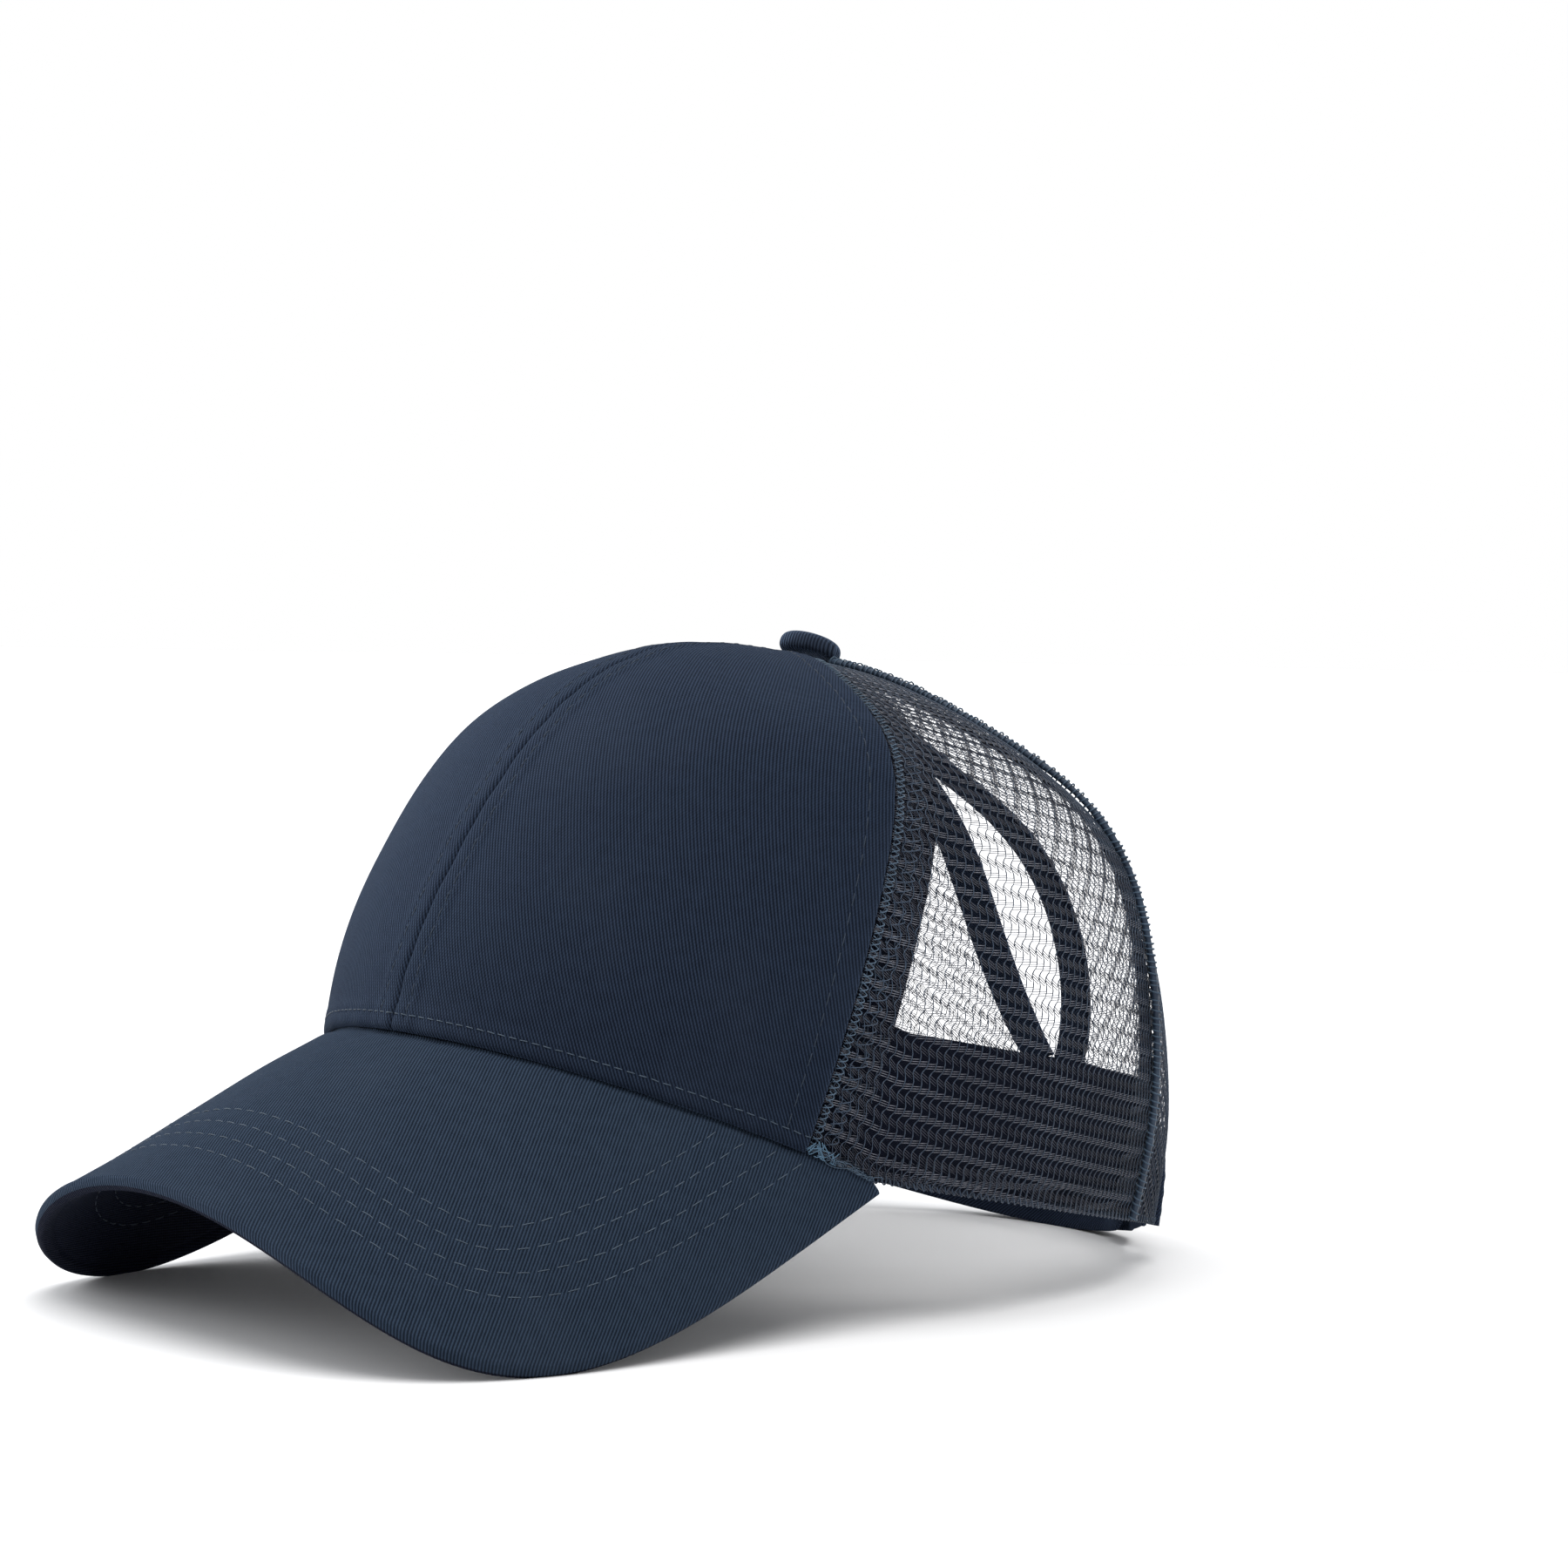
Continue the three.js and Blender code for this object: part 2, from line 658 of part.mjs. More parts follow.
function buildCap() {
  const cap = new THREE.Group();
  const frontColumns = evenSteps(0, sideSeamAngle, grid.frontColumns);
  const sideColumns = [
    ...evenSteps(sideSeamAngle, peakMeetAngle - peakMeetShort, grid.lapColumns),
    ...evenSteps(peakMeetAngle + peakMeetStep, rearSeamAngle, grid.sideColumns),
  ];
  const add = (name, geometry, material) => cap.add(namedMesh(name, geometry, material));
  for (const [hand, side] of [['left', 1], ['right', -1]]) {
    add(`front_panel_${hand}`, seamPanel(side, frontColumns, twillWall, grid.panelRows), twillMaterial);
    add(`side_panel_${hand}`, seamPanel(side, sideColumns, netWall, grid.panelRows), netMaterial);
    add(`rear_panel_${hand}`, rearPanel(side, grid.rearColumns), netMaterial);
    add(`slit_binding_${hand}`, slitTape(side, grid.tapeColumns), tapeMaterial);
  }
  add('arch_binding', archTape(grid.archSteps, grid.tapeColumns), tapeMaterial);
  add('sweatband', sweatbandGeometry(grid.bandColumns, grid.bandRows), tapeMaterial);
  add('peak', peakGeometry(grid.peakColumns, grid.peakRows), twillMaterial);
  add('strap_left', leftStrap(), tapeMaterial);
  add('strap_right', rightStrap(), tapeMaterial);
  add('hook_pad', fastenerPad(hookPadFace), fastenerMaterial);
  add('loop_pad', fastenerPad(loopPadFace), fastenerMaterial);
  cap.add(buttonMesh());
  return cap;
}

// Lowest height of the named pieces when the cap is tipped.
function lowestOf(cap, names) {
  cap.updateMatrixWorld(true);
  const box = new THREE.Box3();
  for (const name of names) {
    box.expandByObject(cap.getObjectByName(name), true);
  }
  return box.min.z;
}

// The cap tips back until its peak and its strap rest on the same surface.
const cap = buildCap();
const steepest = radians(-30);
cap.rotation.x = solve(steepest, 0, (tip) => {
  cap.rotation.x = tip;
  return lowestOf(cap, ['strap_left', 'strap_right']) - lowestOf(cap, ['peak']);
});
cap.updateMatrixWorld(true);
const wholeBox = new THREE.Box3().setFromObject(cap, true);
cap.position.set(0, -(wholeBox.min.y + wholeBox.max.y) / 2, -wholeBox.min.z);

const model = new THREE.Group();
model.add(cap);
export default model;
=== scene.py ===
# Looks of the ponytail baseball cap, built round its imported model.
# Sizes are millimetres in the crown's own frame, with its rim level. Meshes are in row metres.
import json
import math

import bpy
import numpy as np
from mathutils import Matrix, Vector


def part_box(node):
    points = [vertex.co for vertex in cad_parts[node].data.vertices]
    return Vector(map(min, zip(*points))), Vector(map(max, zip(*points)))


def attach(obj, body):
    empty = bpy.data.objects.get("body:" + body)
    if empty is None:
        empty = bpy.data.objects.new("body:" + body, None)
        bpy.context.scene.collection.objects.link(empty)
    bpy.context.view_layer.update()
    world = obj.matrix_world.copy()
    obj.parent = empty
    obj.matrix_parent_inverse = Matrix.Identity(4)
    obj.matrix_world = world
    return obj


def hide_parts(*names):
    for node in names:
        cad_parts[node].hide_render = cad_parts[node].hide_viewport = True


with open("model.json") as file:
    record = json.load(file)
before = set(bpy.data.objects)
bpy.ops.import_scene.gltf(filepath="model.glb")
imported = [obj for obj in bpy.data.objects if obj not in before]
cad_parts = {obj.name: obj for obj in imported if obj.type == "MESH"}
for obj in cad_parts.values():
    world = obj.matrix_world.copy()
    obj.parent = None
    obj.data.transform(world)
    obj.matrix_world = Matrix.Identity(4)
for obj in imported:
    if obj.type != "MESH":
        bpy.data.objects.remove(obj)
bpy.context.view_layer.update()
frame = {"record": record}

MM = 0.001

# Crown, as the frame's solids have it. Its profiles are shares that a search fitted to the photo.
FRONT_REACH = 100.0
BACK_REACH = 105.0
SIDE_REACH = 81.7
CROWN_HEIGHT = 110.4
APEX_FORWARD = 3.1
PLAN_POWER = 1.95
SEAM_GAP = 0.3
BUTTON_HOLE = 2.5
RISES = (0.0, 0.262, 0.573, 0.777, 0.894, 0.974, 1.0)
FRONTS = (1.0, 0.956, 0.821, 0.677, 0.53, 0.324, 0.0)
BACKS = (1.0, 0.922, 0.754, 0.531, 0.265, 0.1, 0.0)
SIDES = (1.0, 1.064, 1.028, 0.878, 0.607, 0.279, 0.0)
SIDE_SEAM = math.radians(61)
REAR_SEAM = math.radians(118.6)
TWILL_WALL = 1.5
NET_DEPTH = 0.6

# Peak.
PEAK_LENGTH = 65.6
PEAK_HALF_WIDTH = 100.0
PEAK_RUN_BACK = 51.5
PEAK_BEND_RADIUS = 87.3
PEAK_EDGE_CURL = math.radians(6.3)
PEAK_SLOPE = math.radians(33.5)
PEAK_FLARE = 0.00053
PEAK_CORNER_POWER = 4
PEAK_THICKNESS = 3.4
PEAK_TIP_THICKNESS = 1.3
PEAK_TIP_SPREAD = 0.8
PEAK_MEET = math.radians(69.3)
PEAK_ROOT_STOP = math.radians(1.5)
PEAK_ROOT_DEPTH = 1.2
PEAK_THROUGH_SIDE = 0.35
PEAK_STITCH_ROWS = (14, 19, 24, 29)
PEAK_EDGE_SEAM = 3.6

# Slit and arch.
SLIT_LENGTH = 85.0
SLIT_HALF_WIDTH = 8.5
SLIT_LEAN = 0.8
SLIT_TAPE_WIDTH = 10.0
SLIT_TAPE_TOP_WIDTH = 4.5
TAPE_PROUD = 0.6
TAPE_DEPTH = 1.6
ARCH_HALF_WIDTH = 45.0
ARCH_RISE = 27.0
ARCH_TAPE_WIDTH = 9.0
ARCH_POWER = 2.2
ARCH_TAB_DROP = 0.4

# Sweatband.
BAND_HEIGHT = 32.0
BAND_THICKNESS = 1.1
BAND_CLEARANCE = 0.7
BAND_END_CLEARANCE = 5.0

# Straps and their pads.
STRAP_WIDTH = 16.0
STRAP_THICKNESS = 1.6
STRAP_DROP = 4.0
STRAP_SAG = 3.0
STRAP_ROOT_LENGTH = 13.0
LEFT_STRAP_REACH = 32.0
RIGHT_STRAP_REACH = 36.0
STRAP_CORNER_CUT = 5.0
PAD_THICKNESS = 0.8
PAD_HALF_LENGTH = 20.0
PAD_MARGIN = 2.0

# Button.
BUTTON_RADIUS = 6.9
BUTTON_HEIGHT = 4.8
BUTTON_LEAN = math.radians(9)
TAPE_UNDER_BUTTON = 1.0

# Net: chains run up, and rows of three filaments join them.
CHAIN_PITCH = 1.92
ROW_PAIR = 5.25
CHAIN_RADIUS = 0.1
FILAMENT_RADIUS = 0.092
FILAMENT_GAP = 0.48
FILAMENT_SLOPES = (0.25, -0.42)
SIDE_NET_TILT = math.radians(-4.5)
SIDE_NET_BEND = 0.00088
REAR_NET_TILT = math.radians(-35)
SEAM_DOUBLING = 10.0

# Seams: tape inside them, a rope of thread over the rear ones, and loops over the front ones.
SEAM_TAPE_FACE = -1.95
SEAM_TAPE_THICKNESS = 0.4
SEAM_ROPE_RADIUS = 0.95
SEAM_ROPE_PITCH = 1.35
SEAM_ROPE_RISE = 0.4

# Sewing.
STITCH_PITCH = 4.1
HEM_PITCH = 2.5
THREAD_RADIUS = 0.115
STITCH_GROOVE = 0.17

# Camera, fitted to the photograph.
VIEW_AZIMUTH = math.radians(47.594)
VIEW_ELEVATION = math.radians(2.685)
VIEW_ROLL = math.radians(0.972)
VIEW_DISTANCE = 877.604
VIEW_RIGHT = 28.008
VIEW_UP = 56.109
VIEW_TARGET = (0, 0, 50)
LENS = 94.172
SENSOR = 36.0
CLIP_NEAR = 0.05
CLIP_FAR = 20


def unit(vectors):
    return vectors / np.maximum(np.linalg.norm(vectors, axis=-1, keepdims=True), 1e-9)


def smoothstep(value, low, high):
    t = np.clip((value - low) / (high - low), 0, 1)
    return t * t * (3 - 2 * t)


def path_lengths(path):
    """Length so far at each point of a path."""
    return np.concatenate([[0], np.cumsum(np.linalg.norm(np.diff(path, axis=0), axis=1))])


def path_length(path):
    return np.sum(np.linalg.norm(np.diff(path, axis=0), axis=1))


def corner_size(c, n, power):
    """Reach of a round-cornered outline along a direction."""
    return (np.abs(c) ** power + np.abs(n) ** power) ** (-1 / power)


def crown_frame():
    """Turn and origin of the crown's frame, from the head opening that the record states."""
    mount = frame["record"]["mounts"][0]
    up = -unit(np.array(mount["axis"], float))
    right = np.array((1.0, 0.0, 0.0))
    return np.stack([right, np.cross(up, right), up], axis=1), np.array(mount["pos_m"], float)


CROWN_TURN, CROWN_ORIGIN = crown_frame()


def to_row(points):
    return np.asarray(points, float) * MM @ CROWN_TURN.T + CROWN_ORIGIN


def natural_spline(values):
    """Natural cubic spline through values at equal steps of 0 to 1."""
    values = np.array(values, float)
    last = len(values) - 1
    step = 1 / last
    system = np.eye(last + 1)
    turn = np.zeros(last + 1)
    for i in range(1, last):
        system[i, i - 1:i + 2] = (1, 4, 1)
        turn[i] = 6 * (values[i + 1] - 2 * values[i] + values[i - 1]) / step**2
    bend = np.linalg.solve(system, turn)

    def at(s):
        place = np.clip(s, 0, 1) * last
        i = np.clip(np.floor(place).astype(int), 0, last - 1)
        b = place - i
        a = 1 - b
        curve = ((a**3 - a) * bend[i] + (b**3 - b) * bend[i + 1]) * step**2 / 6
        return a * values[i] + b * values[i + 1] + curve

    return at


rise_at, front_at, back_at, side_at = (natural_spline(v) for v in (RISES, FRONTS, BACKS, SIDES))


def plan(angle, s):
    """Plan position for an angle from the middle of the front and a station from rim to apex."""
    power = 2 / PLAN_POWER
    c, n = np.cos(angle), np.sin(angle)
    reach = np.where(c > 0, FRONT_REACH * front_at(s), BACK_REACH * back_at(s))
    x = SIDE_REACH * side_at(s) * np.sign(n) * np.abs(n) ** power
    y = -APEX_FORWARD * s * s - reach * np.sign(c) * np.abs(c) ** power
    return x, y


# The peak's section, summed in short steps from its middle to its side.
SECTION_W = np.linspace(0, PEAK_HALF_WIDTH * 1.2, 401)


def section_turn(w):
    return w / PEAK_BEND_RADIUS + PEAK_EDGE_CURL * (w / PEAK_HALF_WIDTH) ** 3


def section_sums():
    step = SECTION_W[1]
    turn = section_turn(SECTION_W[:-1] + step / 2)
    return [np.concatenate([[0], np.cumsum(step * f(turn))]) for f in (np.cos, np.sin)]


SECTION_REACH, SECTION_DROP = section_sums()
PEAK_SIN, PEAK_COS = math.sin(PEAK_SLOPE), math.cos(PEAK_SLOPE)


def peak_across(x):
    return np.sign(x) * np.interp(np.abs(x), SECTION_REACH, SECTION_W)


def section_drop(w):
    return np.interp(np.abs(w), SECTION_W, SECTION_DROP)


def peak_run(w, y):
    drop = section_drop(w)
    return (drop * PEAK_SIN - FRONT_REACH - y) / (PEAK_COS - PEAK_FLARE * drop * PEAK_SIN)


def peak_height(w, run, root):
    return root - run * PEAK_SIN - section_drop(w) * (1 + PEAK_FLARE * run) * PEAK_COS


def peak_height_over(x, y, root):
    w = peak_across(x)
    return peak_height(w, peak_run(w, y), root)


PEAK_ROOT = -peak_height_over(*plan(PEAK_MEET, 0.0), 0)


def peak_top(w, run):
    x = np.sign(w) * np.interp(np.abs(w), SECTION_W, SECTION_REACH)
    y = -FRONT_REACH - run * PEAK_COS + section_drop(w) * (1 + PEAK_FLARE * run) * PEAK_SIN
    return np.stack([x, y, peak_height(w, run, PEAK_ROOT)], -1)


MEET_EASE = 0.05
NORMAL_STEP = 0.004
RIM_STEP = 0.002


def crown(angle, s):
    """Point on the crown's outer face. Its lower edge rises over the peak."""
    angle, s = np.broadcast_arrays(np.asarray(angle, float), np.asarray(s, float))
    x, y = plan(angle, s)
    foot_x, foot_y = plan(angle, np.zeros_like(s))
    before_meet = PEAK_MEET - np.abs(angle)
    lift = peak_height_over(foot_x, foot_y, PEAK_ROOT) + SEAM_GAP * smoothstep(before_meet, 0, MEET_EASE)
    lift = np.where(before_meet > 0, lift, 0) * (1 - s) ** 2
    return np.stack([x, y, CROWN_HEIGHT * rise_at(s) + lift], -1)


def crown_normal(angle, s):
    step = NORMAL_STEP
    angle, s = np.broadcast_arrays(np.asarray(angle, float), np.asarray(s, float))
    around = crown(angle + step, s) - crown(angle - step, s)
    up = crown(angle, np.minimum(s + step, 1)) - crown(angle, np.maximum(s - step, 0))
    return unit(np.cross(around, up))


def crown_point(angle, s, outward, drop=0.0):
    point = crown(angle, s) + crown_normal(angle, s) * np.asarray(outward, float)[..., None]
    point[..., 2] -= drop
    return point


def station_near_apex(angle, radius):
    """Station at which the crown has closed in to a distance from its apex."""
    low = np.full(np.shape(angle), 0.5)
    high = np.ones(np.shape(angle))
    for _ in range(30):
        middle = (low + high) / 2
        x, y = plan(np.asarray(angle, float), middle)
        inside = np.hypot(x, y + APEX_FORWARD) < radius
        high = np.where(inside, middle, high)
        low = np.where(inside, low, middle)
    return (low + high) / 2


REAR_STATIONS = np.linspace(0, 1, 241)
REAR_LENGTHS = path_lengths(crown(np.full(REAR_STATIONS.shape, math.pi), REAR_STATIONS))


def station_up_back(length):
    return np.interp(length, REAR_LENGTHS, REAR_STATIONS)


def length_up_back(s):
    return np.interp(s, REAR_STATIONS, REAR_LENGTHS)


def angle_beside(x, s):
    share = np.clip(np.abs(x) / np.maximum(SIDE_REACH * side_at(s), 1e-6), 0, 1)
    return np.where(x < 0, -1, 1) * (math.pi - np.arcsin(share ** (PLAN_POWER / 2)))


def rear_point(x, length, outward):
    """Point on the back by its distance sideways and its length up from the rim."""
    x, length = np.broadcast_arrays(np.asarray(x, float), np.asarray(length, float))
    s = station_up_back(np.maximum(length, 0))
    return crown_point(angle_beside(x, s), s, outward, np.maximum(-length, 0))


ARCH_OUTER_HALF = ARCH_HALF_WIDTH + ARCH_TAPE_WIDTH
ARCH_OUTER_RISE = ARCH_RISE + ARCH_TAPE_WIDTH
SLIT_START = ARCH_OUTER_RISE + SEAM_GAP
SLIT_TAPE_TOP_STATION = station_near_apex(np.array(math.pi), BUTTON_RADIUS - TAPE_UNDER_BUTTON)
SLIT_TAPE_TOP = float(length_up_back(SLIT_TAPE_TOP_STATION))


def slit_half(length):
    share = np.clip((length - SLIT_START) / SLIT_LENGTH, 0, 1)
    return np.maximum(SLIT_HALF_WIDTH * np.sin(math.pi * share**SLIT_LEAN), SEAM_GAP / 2)


def slit_outer(length):
    narrowing = smoothstep(length, SLIT_START + SLIT_LENGTH, SLIT_TAPE_TOP)
    width = SLIT_TAPE_WIDTH + (SLIT_TAPE_TOP_WIDTH - SLIT_TAPE_WIDTH) * narrowing
    return slit_half(length) + width


def arch_outline(turn, half_width, rise):
    c, n = np.cos(turn), np.sin(turn)
    size = corner_size(c, n, ARCH_POWER)
    return half_width * size * c, rise * size * n


WAVE_COUNT = 6
WAVE_LEVEL = 3.5


def waves(points, reach, seed):
    """Soft unevenness from -1 to 1 that varies over about the given reach in millimetres."""
    rng = np.random.default_rng(seed)
    total = np.zeros(points.shape[:-1])
    for _ in range(WAVE_COUNT):
        direction = unit(rng.normal(size=3)) / reach * rng.uniform(0.6, 1.5)
        total += np.sin(2 * math.pi * (points @ direction) + rng.uniform(0, 2 * math.pi))
    return total / WAVE_LEVEL


def uneven(points, terms):
    """Sum of waves, each given by its height, reach and seed."""
    return sum(height * waves(points, reach, seed) for height, reach, seed in terms)


def grid_normals(points):
    down = np.gradient(points, axis=0)
    across = np.gradient(points, axis=1)
    return unit(np.cross(across, down))


def lengths_along(points, axis):
    """Length so far along each line of a grid."""
    steps = np.linalg.norm(np.diff(points, axis=axis), axis=-1)
    start = np.zeros_like(np.take(steps, [0], axis=axis))
    return np.concatenate([start, np.cumsum(steps, axis=axis)], axis=axis)


def graded(count, ends=0.6):
    """Places from 0 to 1, closer together near both ends."""
    t = np.linspace(0, 1, count)
    return (1 - ends) * t + ends * (0.5 - 0.5 * np.cos(math.pi * t))


def signed_volume(points, faces):
    total = 0.0
    for face in faces:
        for k in range(1, face.shape[1] - 1):
            a, b, c = (points[face[:, i]] for i in (0, k, k + 1))
            total += np.einsum("ij,ij->", a, np.cross(b, c))
    return total


def add_piece(name, points, faces, materials, uv=None, kinds=None):
    """Makes a mesh object in row metres that rides on the cap. Faces is a list of index arrays."""
    points = to_row(points)
    if signed_volume(points - points.mean(axis=0), faces) < 0:
        faces = [face[:, ::-1] for face in faces]
    loops = np.concatenate([face.ravel() for face in faces]).astype(np.int32)
    sizes = np.concatenate([np.full(len(face), face.shape[1]) for face in faces])
    mesh = bpy.data.meshes.new(name)
    mesh.vertices.add(len(points))
    mesh.vertices.foreach_set("co", points.astype(np.float32).ravel())
    mesh.loops.add(len(loops))
    mesh.loops.foreach_set("vertex_index", loops)
    mesh.polygons.add(len(sizes))
    starts = np.concatenate([[0], np.cumsum(sizes)[:-1]]).astype(np.int32)
    mesh.polygons.foreach_set("loop_start", starts)
    mesh.polygons.foreach_set("use_smooth", np.ones(len(sizes), bool))
    if kinds is not None:
        mesh.polygons.foreach_set("material_index", kinds.astype(np.int32))
    if uv is not None:
        layer = mesh.uv_layers.new(name="weave")
        layer.data.foreach_set("uv", uv.astype(np.float32)[loops].ravel())
    mesh.update(calc_edges=True)
    for material in materials:
        mesh.materials.append(material)
    piece = bpy.data.objects.new(name, mesh)
    bpy.context.scene.collection.objects.link(piece)
    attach(piece, "root")
    return piece


def slab(outer, inner):
    """Points and faces of the closed body between two grids of points."""
    rows, columns = outer.shape[:2]
    front = np.arange(rows * columns).reshape(rows, columns)
    back = front + rows * columns

    def quads(a, b, c, d):
        return np.stack([a.ravel(), b.ravel(), c.ravel(), d.ravel()], axis=1)

    faces = np.concatenate([
        quads(front[:-1, :-1], front[:-1, 1:], front[1:, 1:], front[1:, :-1]),
        quads(back[:-1, :-1], back[1:, :-1], back[1:, 1:], back[:-1, 1:]),
        quads(back[0, :-1], back[0, 1:], front[0, 1:], front[0, :-1]),
        quads(front[-1, :-1], front[-1, 1:], back[-1, 1:], back[-1, :-1]),
        quads(back[1:, 0], back[:-1, 0], front[:-1, 0], front[1:, 0]),
        quads(front[1:, -1], front[:-1, -1], back[:-1, -1], back[1:, -1]),
    ])
    points = np.concatenate([outer.reshape(-1, 3), inner.reshape(-1, 3)])
    return points, [faces]


def twice(across, along):
    """Weave coordinates in millimetres for both faces of a slab."""
    uv = np.stack([across.ravel(), along.ravel()], axis=1)
    return np.concatenate([uv, uv])


def edge_drop(distance, reach):
    """How far a rounded edge falls below its face, as a share of the reach."""
    t = np.clip(1 - distance / reach, 0, 1)
    return reach * (1 - np.sqrt(np.maximum(1 - t * t, 0)))


def tubes(lines, normals, radius, sides):
    """Closed tubes round many lines at once. Lines are elements by points by 3."""
    tangent = unit(np.gradient(lines, axis=1))
    across = unit(np.cross(tangent, normals))
    lift = np.cross(across, tangent)
    count, steps = lines.shape[:2]
    radius = np.broadcast_to(np.asarray(radius, float), (count, steps))
    rings = []
    for k in range(sides):
        turn = 2 * math.pi * (k + 0.5) / sides
        rings.append(lines + radius[..., None] * (math.cos(turn) * across + math.sin(turn) * lift))
    points = np.stack(rings, axis=2)
    index = np.arange(points[..., 0].size).reshape(count, steps, sides)
    after = np.roll(index, -1, axis=2)
    wall = np.stack([index[:, :-1], after[:, :-1], after[:, 1:], index[:, 1:]], axis=-1)
    return points.reshape(-1, 3), [wall.reshape(-1, 4), index[:, 0, ::-1], index[:, -1, :]]


def joined(bodies):
    """Several sets of points and faces as one, with the number of each face's set."""
    points, faces, kinds, start = [], [], [], 0
    for number, (body, face_sets) in enumerate(bodies):
        points.append(body)
        for face in face_sets:
            faces.append(face + start)
            kinds.append(np.full(len(face), number))
        start += len(body)
    return np.concatenate(points), faces, np.concatenate(kinds)


def resample(path, normals, places):
    """Points and normals at lengths along a path."""
    lengths = path_lengths(path)
    point = np.stack([np.interp(places, lengths, path[:, k]) for k in range(3)], axis=-1)
    normal = np.stack([np.interp(places, lengths, normals[:, k]) for k in range(3)], axis=-1)
    return point, unit(normal)


STITCH_RISE = (-0.3, 0.02, 0.11, 0.11, 0.02, -0.3)
STITCH_START = 0.08
STITCH_SPAN = 0.88
STITCH_JITTER = 0.03
STITCH_LEAN = 0.05


def stitch_run(path, normals, pitch, seed):
    """A row of stitches along a path: each dives into the cloth at both ends."""
    total = path_length(path)
    count = max(int(total / pitch), 1)
    rng = np.random.default_rng(seed)
    rise = np.array(STITCH_RISE)
    share = np.linspace(0, 1, len(rise))
    jitter = rng.uniform(-STITCH_JITTER, STITCH_JITTER, count)
    start = (np.arange(count) + STITCH_START + jitter) * total / count
    places = start[:, None] + share * STITCH_SPAN * total / count
    point, normal = resample(path, normals, places)
    across = unit(np.cross(unit(np.gradient(point, axis=1)), normal))
    lean = rng.normal(0, STITCH_LEAN, (count, 1)) * (2 * share - 1)
    point = point + normal * rise[None, :, None] + across * lean[..., None]
    return tubes(point, normal, THREAD_RADIUS, 5)


def grid_line(points, normals, field, level):
    """The line across a grid, one point a row, where a rising field reaches a level."""
    line = np.empty((len(points), 3))
    facing = np.empty((len(points), 3))
    for j in range(len(points)):
        for k in range(3):
            line[j, k] = np.interp(level, field[j], points[j, :, k])
            facing[j, k] = np.interp(level, field[j], normals[j, :, k])
    return line, unit(facing)


VALLEY_REACH = 0.8
VALLEY_SHARE = 0.85
WELT_RISE = (0.2, 1.6)
WELT_FALL = (0.6, 2.6)
GROOVE_WIDTH = 0.55
STITCH_PULL = 0.08
PUCKER_HEIGHT = 0.16
PUCKER_REACH = 5.5


def seam_relief(distance, along, stitch_at, welt):
    """Relief beside a seam: a rounded valley, a low welt out to the stitches, and puckers."""
    valley = -edge_drop(distance, VALLEY_REACH) * VALLEY_SHARE
    beyond = smoothstep(distance, stitch_at + WELT_FALL[0], stitch_at + WELT_FALL[1])
    body = welt * smoothstep(distance, *WELT_RISE) * (1 - beyond)
    groove = np.exp(-((distance - stitch_at) / GROOVE_WIDTH) ** 2)
    pull = STITCH_GROOVE + STITCH_PULL * np.cos(2 * math.pi * along / STITCH_PITCH)
    slow = np.sin(along / 1.9 + 1.4 * np.sin(along / 13)) * np.sin(along / 7.3)
    pucker = PUCKER_HEIGHT * slow * np.exp(-distance / PUCKER_REACH)
    return valley + body - pull * groove + pucker


# Materials.
class Nodes:
    """Short ways to add and join a material's nodes."""

    def __init__(self, name):
        self.material = bpy.data.materials.new(name)
        self.material.use_nodes = True
        self.tree = self.material.node_tree
        self.shader = self.tree.nodes["Principled BSDF"]

    def node(self, kind, **values):
        made = self.tree.nodes.new(kind)
        for key, value in values.items():
            setattr(made, key, value)
        return made

    def link(self, source, target):
        self.tree.links.new(source, target)

    def feed(self, socket, value):
        if isinstance(value, bpy.types.NodeSocket):
            self.link(value, socket)
        else:
            socket.default_value = value

    def math(self, operation, a, b=0.0, c=0.0):
        made = self.node("ShaderNodeMath", operation=operation)
        for socket, value in zip(made.inputs, (a, b, c)):
            self.feed(socket, value)
        return made.outputs[0]

    def noise(self, coordinates, scale, detail=3.0, roughness=0.55):
        made = self.node("ShaderNodeTexNoise")
        self.link(coordinates, made.inputs["Vector"])
        made.inputs["Scale"].default_value = scale
        made.inputs["Detail"].default_value = detail
        made.inputs["Roughness"].default_value = roughness
        return made.outputs["Fac"]

    def wave(self, coordinates, pitch, angle, distortion=0.6):
        """Straight ribs of a pitch in the coordinates' own unit, turned by an angle."""
        turned = self.node("ShaderNodeMapping")
        turned.inputs["Rotation"].default_value = (0, 0, angle)
        self.link(coordinates, turned.inputs["Vector"])
        made = self.node("ShaderNodeTexWave", wave_type="BANDS", bands_direction="X")
        self.link(turned.outputs[0], made.inputs["Vector"])
        made.inputs["Scale"].default_value = math.pi / (10 * pitch)
        made.inputs["Distortion"].default_value = distortion
        made.inputs["Detail"].default_value = 1.0
        made.inputs["Detail Scale"].default_value = 1.5
        return made.outputs["Fac"]

    def mix(self, share, low, high):
        made = self.node("ShaderNodeMix", data_type="RGBA")
        self.feed(made.inputs[0], share)
        for socket, value in ((made.inputs[6], low), (made.inputs[7], high)):
            if isinstance(value, bpy.types.NodeSocket):
                self.link(value, socket)
            else:
                socket.default_value = (*value, 1)
        return made.outputs[2]

    def bump(self, height, strength, distance):
        made = self.node("ShaderNodeBump")
        made.inputs["Strength"].default_value = strength
        made.inputs["Distance"].default_value = distance
        self.link(height, made.inputs["Height"])
        self.link(made.outputs[0], self.shader.inputs["Normal"])


